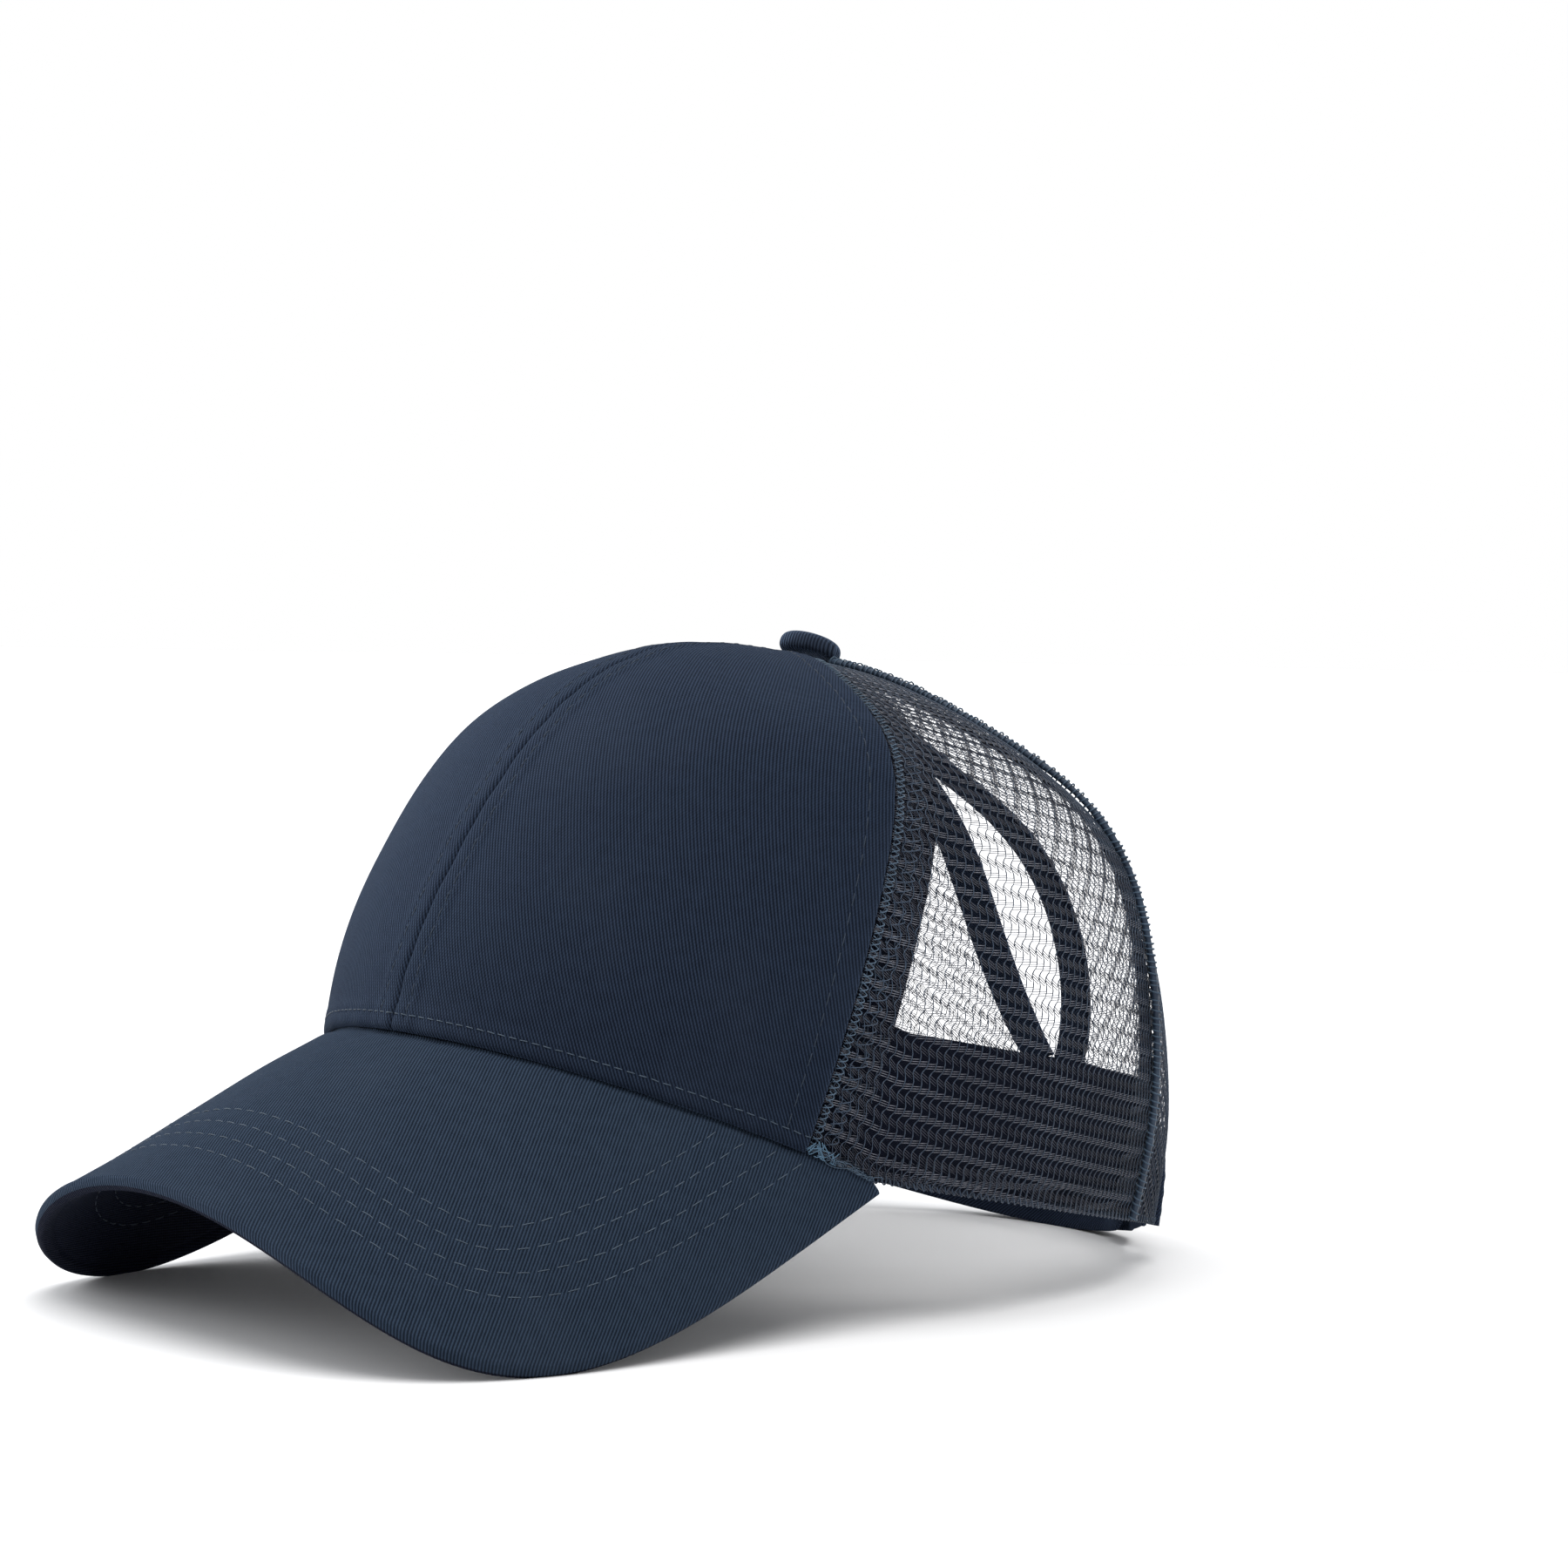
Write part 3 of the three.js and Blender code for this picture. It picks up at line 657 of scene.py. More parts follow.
RIB_PITCH = 0.68
FRONT_RIBS = math.radians(-29)
PEAK_RIBS = math.radians(31)
TAPE_RIBS = math.radians(42)
YARN_PITCH_SHARE = 0.92
YARN_TURN = math.radians(62)
CLOTH_WEAR = 0.18
CLOTH_FADE = 0.2
FADED_LEVEL = 0.06
CLOTH_SPECULAR = 0.06
SHEEN_ROUGHNESS = 0.38
SHEEN_TINT = (0.42, 0.62, 1.0, 1)
CLOTH_BUMP = (0.7, 0.00028)
YARN_DISTORTION = 1.2
SLUB_SCALE = 0.35
DYE_SCALE = 28.0
FUZZ_SCALE = 3.2
YARN_HEIGHT = 0.35
FUZZ_HEIGHT = 0.5
RIB_SHADE = 0.95
FUZZ_SHADE = 0.25
SLUB_SHADE = 0.4


def cloth(name, dark, light, sheen, rib_pitch=RIB_PITCH, rib_angle=FRONT_RIBS):
    """Twill: diagonal ribs broken by crossing yarns, with slubs and uneven dye."""
    made = Nodes(name)
    weave = made.node("ShaderNodeUVMap", uv_map="weave").outputs[0]
    place = made.node("ShaderNodeTexCoord").outputs["Object"]
    ribs = made.wave(weave, rib_pitch, rib_angle)
    yarns = made.wave(weave, rib_pitch * YARN_PITCH_SHARE, rib_angle + YARN_TURN, YARN_DISTORTION)
    slubs = made.noise(weave, SLUB_SCALE, 4.0)
    dye = made.noise(place, DYE_SCALE, 4.0)
    fuzz = made.noise(weave, FUZZ_SCALE, 3.0, 0.7)
    height = made.math("MULTIPLY_ADD", yarns, YARN_HEIGHT, ribs)
    height = made.math("MULTIPLY_ADD", fuzz, FUZZ_HEIGHT, height)
    shade = made.math("MULTIPLY_ADD", fuzz, FUZZ_SHADE, -0.1)
    share = made.math("MULTIPLY_ADD", ribs, RIB_SHADE, shade)
    share = made.math("ADD", share, made.math("MULTIPLY_ADD", slubs, SLUB_SHADE, -SLUB_SHADE / 2))
    colour = made.mix(share, dark, light)
    faded = tuple((1 - CLOTH_FADE) * c + CLOTH_FADE * FADED_LEVEL for c in light)
    lifted = made.math("MULTIPLY_ADD", dye, 4 * CLOTH_WEAR, -2 * CLOTH_WEAR)
    lifted = made.math("MINIMUM", made.math("MAXIMUM", lifted, 0.0), CLOTH_WEAR)
    colour = made.mix(lifted, colour, faded)
    made.link(colour, made.shader.inputs["Base Color"])
    made.link(made.math("MULTIPLY_ADD", ribs, -0.08, 0.93), made.shader.inputs["Roughness"])
    made.shader.inputs["Specular IOR Level"].default_value = CLOTH_SPECULAR
    made.shader.inputs["Sheen Weight"].default_value = sheen
    made.shader.inputs["Sheen Roughness"].default_value = SHEEN_ROUGHNESS
    made.shader.inputs["Sheen Tint"].default_value = SHEEN_TINT
    made.bump(height, *CLOTH_BUMP)
    return made.material


STRAND_SCALE = 70.0
TWIST_SCALE = 3800.0


def strand(name, dark, light, roughness, specular, sheen=0.0):
    """Yarn or filament: colour varies along it, with a fine twist in its bump."""
    made = Nodes(name)
    place = made.node("ShaderNodeTexCoord").outputs["Object"]
    broad = made.noise(place, STRAND_SCALE, 3.0)
    fine = made.noise(place, 2600.0, 2.0)
    share = made.math("MULTIPLY_ADD", fine, 0.5, made.math("MULTIPLY_ADD", broad, 1.4, -0.45))
    made.link(made.mix(share, dark, light), made.shader.inputs["Base Color"])
    made.link(made.math("MULTIPLY_ADD", fine, 0.2, roughness - 0.1), made.shader.inputs["Roughness"])
    made.shader.inputs["Specular IOR Level"].default_value = specular
    made.shader.inputs["Sheen Weight"].default_value = sheen
    made.bump(made.noise(place, TWIST_SCALE, 2.0), 0.4, 0.0001)
    return made.material


def pile_material():
    made = Nodes("fastener_pile")
    place = made.node("ShaderNodeTexCoord").outputs["Object"]
    tufts = made.noise(place, 1500.0, 4.0, 0.7)
    broad = made.noise(place, 180.0, 2.0)
    share = made.math("MULTIPLY_ADD", tufts, 0.8, made.math("MULTIPLY", broad, 0.4))
    colour = made.mix(share, (0.004, 0.0035, 0.0035), (0.03, 0.024, 0.022))
    made.link(colour, made.shader.inputs["Base Color"])
    made.shader.inputs["Roughness"].default_value = 0.85
    made.shader.inputs["Sheen Weight"].default_value = 0.25
    made.bump(tufts, 0.9, 0.0004)
    return made.material


TWILL = cloth("navy_twill", (0.0028, 0.0046, 0.0095), (0.0182, 0.0285, 0.052), 0.12)
# Painted light: the button's cloth is a lighter copy of the navy twill, standing in for the light that
# falls on the button's top.
LIT_BUTTON_TWILL = cloth("button_twill_painted_light", (0.006, 0.0085, 0.015), (0.03, 0.042, 0.068), 0.3)
PEAK_LOOK = (RIB_PITCH, PEAK_RIBS)
# Painted light: the peak's top is a lighter copy of the navy twill, standing in for the brighter light on
# the peak.
LIT_PEAK_TWILL = cloth("peak_twill_painted_light", (0.0036, 0.0066, 0.0125), (0.0255, 0.0405, 0.067), 0.08, *PEAK_LOOK)
# Painted shade: the peak's underside is a darker copy of the same twill, standing in for the shade under
# the peak.
SHADED_UNDER_TWILL = cloth("peak_underside_painted_shade", (0.0015, 0.002, 0.0055), (0.007, 0.009, 0.022), 0.02, *PEAK_LOOK)
TAPE = cloth("tape_twill", (0.0036, 0.0054, 0.0115), (0.018, 0.027, 0.052), 0.1, 0.62, TAPE_RIBS)
LINING = cloth("lining_cloth", (0.0025, 0.0034, 0.008), (0.009, 0.0115, 0.023), 0.03, 0.4, TAPE_RIBS)
CHAIN = strand("net_chain", (0.009, 0.018, 0.037), (0.031, 0.055, 0.094), 0.5, 0.35, 0.07)
# Painted highlight: both filament sets are the same yarn; this set's lighter colour stands in for the
# glossy highlights along its rows.
HIGHLIT_FILAMENT = strand("net_filament_painted_highlight", (0.065, 0.07, 0.095), (0.16, 0.168, 0.205), 0.28, 0.8)
DARK_FILAMENT = strand("net_filament_dark", (0.02, 0.022, 0.036), (0.055, 0.06, 0.084), 0.32, 0.6)
THREAD = strand("hem_thread", (0.022, 0.035, 0.054), (0.055, 0.08, 0.112), 0.6, 0.3, 0.08)
SEAM_THREAD = strand("seam_thread", (0.01, 0.017, 0.03), (0.03, 0.044, 0.068), 0.65, 0.2, 0.05)
LOOP_THREAD = strand("overcast_thread", (0.022, 0.042, 0.07), (0.075, 0.122, 0.18), 0.6, 0.3, 0.1)
TACK = strand("tack_thread", (0.035, 0.08, 0.13), (0.1, 0.19, 0.28), 0.6, 0.3, 0.08)
PILE = pile_material()


# Twill front.
FRONT_COLUMNS = 96
FRONT_ROWS = 124
CENTRE_STITCH = 4.4
SIDE_STITCH = 5.6
HEM_STITCH = 3.4
CENTRE_WELT = 0.28
SIDE_WELT = 0.3
HEM_WELT = 0.22
HEM_REACH = 12
FRONT_WAVES = ((0.2, 46, 3), (0.07, 17, 4))


def front_panel(hand, side):
    share = graded(FRONT_COLUMNS)
    angle = share * SIDE_SEAM
    top = station_near_apex(angle, BUTTON_HOLE)
    up = graded(FRONT_ROWS, 0.45)
    s = up[:, None] * top[None, :]
    angles = np.broadcast_to(angle, s.shape)
    base = crown(angles, s)
    facing = crown_normal(angles, s)
    from_centre = lengths_along(base, 1) + SEAM_GAP / 2
    to_side = from_centre[:, -1:] - from_centre
    height = lengths_along(base, 0)
    relief = seam_relief(from_centre, height + side, CENTRE_STITCH, CENTRE_WELT)
    relief += seam_relief(to_side, height, SIDE_STITCH, SIDE_WELT)
    hem = seam_relief(height, from_centre, HEM_STITCH, HEM_WELT)
    relief += np.where(height < HEM_REACH, hem, 0)
    mirrored = base * (side, 1, 1)
    relief += uneven(mirrored, FRONT_WAVES)
    outer = (base + facing * relief[..., None]) * (side, 1, 1)
    inner = (base - facing * TWILL_WALL) * (side, 1, 1)
    points, faces = slab(outer, inner)
    uv = twice(side * from_centre, height)
    piece = add_piece(f"front_twill_{hand}", points, faces, [TWILL], uv)
    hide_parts(f"front_panel_{hand}")
    facing = facing * (side, 1, 1)
    keep = slice(4, FRONT_ROWS - 6)
    seams = [
        grid_line(outer[keep], facing[keep], from_centre[keep], CENTRE_STITCH),
        grid_line(outer[keep], facing[keep], -to_side[keep], -SIDE_STITCH),
    ]
    hem_line = grid_line(outer.transpose(1, 0, 2), facing.transpose(1, 0, 2), height.T, HEM_STITCH)
    return seams, hem_line


# Peak.
PEAK_COLUMNS = 230
PEAK_ROWS = 80
PEAK_WAVES = ((0.3, 60, 11), (0.08, 21, 12))
PEAK_PULL = 0.07
PEAK_GROOVE_WIDTH = 0.6
UNDERSIDE_SHARE = 0.8
CREASE_DEPTH = 0.7
CREASE_AT = 1.4
CREASE_WIDTH = 1.3


def rim_point(angle, outward):
    step = RIM_STEP
    x, y = plan(angle, 0.0)
    x1, y1 = plan(angle + step, 0.0)
    x0, y0 = plan(angle - step, 0.0)
    along = unit(np.stack([x1 - x0, y1 - y0], -1))
    return x + along[..., 1] * outward, y - along[..., 0] * outward


def peak_outline(turn):
    c, n = np.cos(turn), np.sin(turn)
    size = corner_size(c, n, PEAK_CORNER_POWER)
    return PEAK_HALF_WIDTH * size * c, (PEAK_LENGTH + PEAK_RUN_BACK) * size * n - PEAK_RUN_BACK


def peak_through(w):
    turn = section_turn(np.abs(w)) * np.sign(w)
    x = np.sin(turn) * PEAK_THROUGH_SIDE
    return unit(np.stack([x, -PEAK_SIN * np.cos(turn), PEAK_COS * np.cos(turn)], -1))


def peak_tip_turn():
    """Turn round the outline at which the peak's edge meets the crown's rim."""
    angle = np.linspace(0.5, math.pi / 2, 4001)
    x, y = plan(angle, 0.0)
    w = peak_across(x)
    run = peak_run(w, y)
    reach = PEAK_LENGTH + PEAK_RUN_BACK
    along = (run + PEAK_RUN_BACK) / reach
    power = PEAK_CORNER_POWER
    size = np.abs(w / PEAK_HALF_WIDTH) ** power + np.sign(along) * np.abs(along) ** power
    i = int(np.argmax(size > 1)) if size[0] < 1 else int(np.argmax(size < 1))
    return math.atan2((run[i] + PEAK_TIP_SPREAD + PEAK_RUN_BACK) / reach, w[i] / PEAK_HALF_WIDTH)


def peak_place(angle, thickness):
    """Place on the peak whose face at a depth meets the rim just inside the crown's wall."""
    x, y = rim_point(angle, -PEAK_ROOT_DEPTH)
    w = peak_across(x)
    for _ in range(12):
        shift = peak_through(w) * thickness[..., None]
        w = peak_across(x + shift[..., 0])
    return w, peak_run(w, y + shift[..., 1])


def outline_distance(w, run, outline):
    """Distance from each place to the peak's outline, with both on the flat peak."""
    flat = np.stack([w.ravel(), run.ravel()], -1)
    ends = np.stack(outline, -1)
    best = np.full(len(flat), np.inf)
    for start, end in zip(ends[:-1], ends[1:]):
        leg = end - start
        t = np.clip((flat - start) @ leg / (leg @ leg), 0, 1)
        best = np.minimum(best, np.linalg.norm(flat - start - t[:, None] * leg, axis=1))
    return best.reshape(w.shape)


def peak_relief(distance, along):
    """Grooves of the four stitch rows."""
    relief = np.zeros_like(distance)
    for k, at in enumerate(PEAK_STITCH_ROWS):
        pull = STITCH_GROOVE + PEAK_PULL * np.cos(2 * math.pi * along / STITCH_PITCH + k)
        relief -= pull * np.exp(-((distance - at) / PEAK_GROOVE_WIDTH) ** 2)
    return relief


def peak_swell(top):
    """Slow unevenness of the peak under its cloth."""
    return uneven(top, PEAK_WAVES)


def build_peak():
    tip_turn = peak_tip_turn()
    u = np.linspace(0, 1, PEAK_COLUMNS)
    edge_w, edge_run = peak_outline(tip_turn + (math.pi - 2 * tip_turn) * u)
    outline = peak_outline(np.linspace(0.02, math.pi - 0.02, 320))
    to_tip = smoothstep(np.abs(2 * u - 1), 0.7, 1)
    thick = PEAK_THICKNESS + (PEAK_TIP_THICKNESS - PEAK_THICKNESS) * to_tip
    root_end = PEAK_MEET - PEAK_ROOT_STOP
    root_angle = root_end - 2 * root_end * u
    v = 1 - (1 - np.linspace(0, 1, PEAK_ROWS)) ** 1.25
    sheets, distances, weave = [], [], []
    for face in (0, 1):
        root_w, root_run = peak_place(root_angle, thick * face)
        w = root_w + (edge_w - root_w) * v[:, None]
        run = root_run + (edge_run - root_run) * v[:, None]
        distance = outline_distance(w, run, outline)
        half = thick / 2
        drop = np.minimum(half * 0.9, edge_drop(distance, 1.0) * half)
        depth = np.where(face == 0, drop, thick - drop)
        sheets.append(peak_top(w, run) - peak_through(w) * np.broadcast_to(depth, w.shape)[..., None])
        distances.append(distance)
        weave.append(np.stack([w.ravel(), run.ravel()], axis=1))
    along = lengths_along(sheets[0], 1)
    up = grid_normals(sheets[0])
    if up[:, :, 2].mean() < 0:
        up = -up
    swell = peak_swell(sheets[0]) * smoothstep(distances[0], 0, 3)
    ahead = lengths_along(sheets[0], 0)
    crease = CREASE_DEPTH * np.exp(-((ahead - CREASE_AT) / CREASE_WIDTH) ** 2)
    top = sheets[0] + up * (peak_relief(distances[0], along) + swell - crease)[..., None]
    edge_seam = 0.3 * np.exp(-((distances[1] - PEAK_EDGE_SEAM) / 0.5) ** 2)
    grooves = UNDERSIDE_SHARE * peak_relief(distances[1], along)
    under = sheets[1] - up * (grooves - edge_seam - swell)[..., None]
    points, faces = slab(top, under)
    quads = (PEAK_COLUMNS - 1) * (PEAK_ROWS - 1)
    # The underside faces take the twill with painted shade; the top faces take the twill with painted
    # light.
    kinds = np.zeros(len(faces[0]), int)
    kinds[quads:2 * quads] = 1
    cloths = [LIT_PEAK_TWILL, SHADED_UNDER_TWILL]
    piece = add_piece("peak_cover", points, faces, cloths, np.concatenate(weave), kinds)
    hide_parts("peak")
    return outline


def peak_face_line(distance, below, outline):
    """Line on the peak's top or underside at a distance in from its edge, in front of the crown."""
    w, run = outline
    leg = unit(np.stack([np.gradient(w), np.gradient(run)], -1))
    w = w - leg[:, 1] * distance
    run = run + leg[:, 0] * distance
    if run.mean() > outline[1].mean():
        w = w + 2 * leg[:, 1] * distance
        run = run - 2 * leg[:, 0] * distance
    apart = outline_distance(w, run, outline)
    point = peak_top(w, run)
    share = np.clip(np.abs(point[:, 0]) / SIDE_REACH, 0, 1)
    rim_y = -FRONT_REACH * np.cos(np.arcsin(share ** (PLAN_POWER / 2))) ** (2 / PLAN_POWER)
    keep = (point[:, 1] < rim_y - 0.8) & (apart > distance - 0.4)
    step = 0.5
    ahead = peak_top(w, run + step) - peak_top(w, run - step)
    beside = peak_top(w + step, run) - peak_top(w - step, run)
    up = unit(np.cross(ahead, beside))
    up = np.where(up[:, 2:] < 0, -up, up)
    swell = peak_swell(point)
    if below:
        lift = (swell + UNDERSIDE_SHARE * STITCH_GROOVE)[:, None]
        point = point - peak_through(w) * PEAK_THICKNESS + up * lift
        return point[keep], -up[keep]
    point = point + up * (swell - STITCH_GROOVE)[:, None]
    return point[keep], up[keep]


# Net.
FABRIC_ROWS = 160
FABRIC_COLUMNS = 201
FABRIC_REACH = 95
FABRIC_HEIGHT = 165
FABRIC_STEP = 0.5
FABRIC_SPREAD = 0.85
CHAIN_SWING = 0.42
CHAIN_KINK = 0.1
NET_SAG = 0.3
NET_SAG_REACH = 34
UNDER_NET_TURN = 0.16
UNDER_NET_SHIFT = (1.3, 2.1)
UNDER_NET_DEPTH = 0.7
NET_HEM = 6.0
CHAIN_LIFT = 0.1
CHAIN_KNOT = 0.3
BRIGHT_LIFT = -0.06
DARK_LIFT = -0.1
FILAMENT_OVERLAP = 0.06


class Fabric:
    """Net laid on the crown. It takes millimetres sideways from the panel's middle and up from the rim."""

    def __init__(self, middle, low, high):
        self.middle = middle
        stations = np.linspace(0, 1, FABRIC_ROWS + 1)
        angles = np.linspace(low, high, FABRIC_COLUMNS)
        rows = crown(angles[None, :], stations[:, None])
        lengths = lengths_along(rows, 1)
        centre = np.array([np.interp(middle, angles, row) for row in lengths])
        self.lengths = lengths - centre[:, None]
        spine = crown(np.full(FABRIC_ROWS + 1, middle), stations)
        self.up = path_lengths(spine)
        self.stations = stations
        self.reach = np.arange(-FABRIC_REACH, FABRIC_REACH + FABRIC_STEP, FABRIC_STEP)
        rows = [np.interp(self.reach, row, angles) for row in self.lengths]
        self.angles = np.array(rows)

    def at(self, across, up):
        """Angle and station, or the nearest of the table."""
        s = np.interp(up, self.up, self.stations)
        j = np.clip(s * FABRIC_ROWS, 0, FABRIC_ROWS - 0.001)
        i = np.clip((across - self.reach[0]) / FABRIC_STEP, 0, len(self.reach) - 1.001)
        j0, i0 = j.astype(int), i.astype(int)
        fj, fi = j - j0, i - i0
        table = self.angles
        low = table[j0, i0] * (1 - fi) + table[j0, i0 + 1] * fi
        high = table[j0 + 1, i0] * (1 - fi) + table[j0 + 1, i0 + 1] * fi
        return low * (1 - fj) + high * fj, s


def clip_lines(lines, inside):
    """Cuts each line to the part that is inside. Inside is a signed distance at each of its points."""
    keep = (inside > 0).any(axis=1)
    lines, inside = lines[keep], inside[keep]
    count, steps = inside.shape
    first = np.argmax(inside > 0, axis=1)
    last = steps - 1 - np.argmax(inside[:, ::-1] > 0, axis=1)
    each = np.arange(count)

    def crossing(within, beyond):
        here, there = inside[each, within], inside[each, beyond]
        return within + (beyond - within) * np.clip(here / np.maximum(here - there, 1e-9), 0, 1)

    start = np.where(first > 0, crossing(first, np.maximum(first - 1, 0)), 0.0)
    end = np.where(last < steps - 1, crossing(last, np.minimum(last + 1, steps - 1)), steps - 1.0)
    long_enough = end - start > 0.25
    lines, start, end = lines[long_enough], start[long_enough], end[long_enough]
    each = each[:len(lines)]
    place = start[:, None] + (end - start)[:, None] * np.linspace(0, 1, steps)
    i = np.clip(place.astype(int), 0, steps - 2)
    f = (place - i)[..., None]
    return lines[each[:, None], i] * (1 - f) + lines[each[:, None], i + 1] * f


def net_lines(width, height, tilt, bend, phase=(0.0, 0.0)):
    """Chains and filaments of a flat net that covers more than the given half width and height."""
    across = np.arange(-int(width / CHAIN_PITCH) - 2, int(width / CHAIN_PITCH) + 3)
    pairs = np.arange(-int(height / ROW_PAIR) - 3, int(height / ROW_PAIR) + 4)
    i, j = (v.ravel() for v in np.meshgrid(across, pairs))
    t = np.linspace(0, 1, 7)
    swing = CHAIN_SWING * np.sin(2 * math.pi * (t - 0.1))
    x = i[:, None] * CHAIN_PITCH + swing + CHAIN_KINK * np.sin(4 * math.pi * t)
    chains = np.stack([x, (j[:, None] + t) * ROW_PAIR], -1)
    filaments = []
    t = np.linspace(-FILAMENT_OVERLAP, 1 + FILAMENT_OVERLAP, 2)
    for kind, slope in enumerate(FILAMENT_SLOPES):
        lean = CHAIN_SWING * math.sin(2 * math.pi * (0.5 * kind + 0.15))
        for k in (-1, 0, 1):
            x = (i[:, None] + t) * CHAIN_PITCH + lean
            y = (j[:, None] + 0.25 + 0.5 * kind) * ROW_PAIR + slope * CHAIN_PITCH * (t - 0.5)
            y = y + k * FILAMENT_GAP
            filaments.append(np.stack([x, y], -1))
    c, n = math.cos(tilt), math.sin(tilt)
    turn = np.array([[c, n], [-n, c]])
    sets = (chains, np.concatenate(filaments[:3]), np.concatenate(filaments[3:]))
    laid = []
    for strands in sets:
        strands = strands @ turn + phase
        strands[..., 1] += bend * strands[..., 0] ** 2
        laid.append(strands)
    return laid


def net_bodies(fabric, side, region, lines, outward, sag_seed):
    """Tubes of the chains and filaments that lie in a region of the crown."""
    bodies = []
    chain_knots = CHAIN_RADIUS * (1 + CHAIN_KNOT * np.cos(np.linspace(0, 4 * math.pi, 7) + 0.6))
    looks = (
        (chain_knots, CHAIN_LIFT, 4),
        (FILAMENT_RADIUS, BRIGHT_LIFT, 3),
        (FILAMENT_RADIUS, DARK_LIFT, 3),
    )
    for strands, (radius, lift, sides) in zip(lines, looks):
        near = (strands[..., 1].max(axis=1) > 0) & (np.abs(strands[..., 0]).min(axis=1) < FABRIC_REACH - 1)
        strands = strands[near]
        angle, s = fabric.at(strands[..., 0], strands[..., 1])
        strands = clip_lines(strands, region(angle, s, strands[..., 1]))
        angle, s = fabric.at(strands[..., 0], strands[..., 1])
        base = crown(angle, s)
        wobble = NET_SAG * waves(base * (side, 1, 1), NET_SAG_REACH, sag_seed)
        facing = crown_normal(angle, s)
        line = (base + facing * (outward + lift + wobble)[..., None]) * (side, 1, 1)
        bodies.append(tubes(line, facing * (side, 1, 1), radius, sides))
    return bodies


SCALE_STEP = 0.01
APEX_CLEARANCE = 1
ARCH_NET_LEVEL = 0.93
ARCH_NET_SCALE = 16
UNDER_TAPE = 1.5


def row_scale(angle, s):
    """Millimetres a radian round the crown."""
    step = SCALE_STEP
    x1, y1 = plan(angle + step, s)
    x0, y0 = plan(angle - step, s)
    return np.hypot(x1 - x0, y1 - y0) / (2 * step)


def side_region(angle, s, up):
    scale = row_scale(angle, s)
    x, y = plan(angle, s)
    from_apex = np.hypot(x, y + APEX_FORWARD) - BUTTON_HOLE - APEX_CLEARANCE
    seams = np.minimum(angle - SIDE_SEAM, REAR_SEAM - angle) * scale - SEAM_GAP / 2
    return np.minimum(np.minimum(seams, up), from_apex)


def rear_region(angle, s, up):
    scale = row_scale(angle, s)
    x, y = plan(angle, s)
    length = length_up_back(s)
    from_seam = (angle - REAR_SEAM) * scale - SEAM_GAP / 2
    from_slit = np.abs(x) - slit_outer(length) + UNDER_TAPE
    arch = (np.abs(x) / ARCH_OUTER_HALF) ** ARCH_POWER + (length / ARCH_OUTER_RISE) ** ARCH_POWER
    from_arch = (arch - ARCH_NET_LEVEL) * ARCH_NET_SCALE
    from_apex = np.hypot(x, y + APEX_FORWARD) - BUTTON_HOLE - APEX_CLEARANCE
    behind = np.where(angle < math.pi - 0.01, from_slit, -1.0)
    return np.minimum.reduce([from_seam, behind, from_arch, from_apex, length])


def doubled(region, seams):
    """The strip of a region that lies within the turned in edge of a seam."""
    def inside(angle, s, up):
        near = np.full(angle.shape, -1e3)
        for seam in seams:
            near = np.maximum(near, SEAM_DOUBLING - np.abs(angle - seam) * row_scale(angle, s))
        return np.minimum(region(angle, s, up), near)
    return inside


def hemmed(region, height):
    def inside(angle, s, up):
        return np.minimum(region(angle, s, up), height - up)
    return inside


def net_panel(name, side, middle, region, seams, tilt, bend, seed):
    fabric = Fabric(middle, middle - FABRIC_SPREAD, min(middle + FABRIC_SPREAD, math.pi))
    cover = (FABRIC_REACH, FABRIC_HEIGHT)
    lines = net_lines(*cover, tilt, bend)
    under = net_lines(*cover, tilt + UNDER_NET_TURN, bend, UNDER_NET_SHIFT)
    under_face = -NET_DEPTH - UNDER_NET_DEPTH
    bodies = net_bodies(fabric, side, region, lines, -NET_DEPTH, seed)
    bodies += net_bodies(fabric, side, doubled(region, seams), under, under_face, seed)
    bodies += net_bodies(fabric, side, hemmed(region, NET_HEM), under, under_face, seed)
    points, faces, kinds = joined(bodies)
    # The second strand material's lighter colour is a painted highlight.
    strands = [CHAIN, HIGHLIT_FILAMENT, DARK_FILAMENT]
    return add_piece(name, points, faces, strands, kinds=kinds % 3)


def build_net(hand, side):
    middle = (SIDE_SEAM + REAR_SEAM) / 2
    seams = (SIDE_SEAM, REAR_SEAM)
    look = (SIDE_NET_TILT, SIDE_NET_BEND, 21)
    panel = net_panel(f"side_net_{hand}", side, middle, side_region, seams, *look)
    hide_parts(f"side_panel_{hand}")
    middle = (REAR_SEAM + math.pi) / 2
    look = (REAR_NET_TILT, 0.0, 22)
    panel = net_panel(f"rear_net_{hand}", side, middle, rear_region, (REAR_SEAM,), *look)
    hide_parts(f"rear_panel_{hand}")


EDGE_LOOPS = (1.1, -0.3, 1.7, 1.35, 92)
FOLD_LOOPS = (4.4, -0.75, 3.6, 2.3, 93)
LOOP_RADIUS = 0.14
LOOP_LENGTH = 1.45
LOOP_JITTER = 0.15
LOOP_RISE = 0.3
ROPE_TURN_RADIUS = 0.19
RIM_LOOP_RADIUS = 0.17
RIM_LOOP_HEIGHT = 1.3


def seam_path(angle, offset, outward, low=0.004):
    """Path up the crown a distance behind a seam, with the normals along it."""
    top = float(station_near_apex(np.array(angle), BUTTON_HOLE + 3))
    s = np.linspace(low, top, 700)
    angles = angle + offset / row_scale(angle, s)
    return crown_point(angles, s, np.full(s.shape, outward)), crown_normal(angles, s)


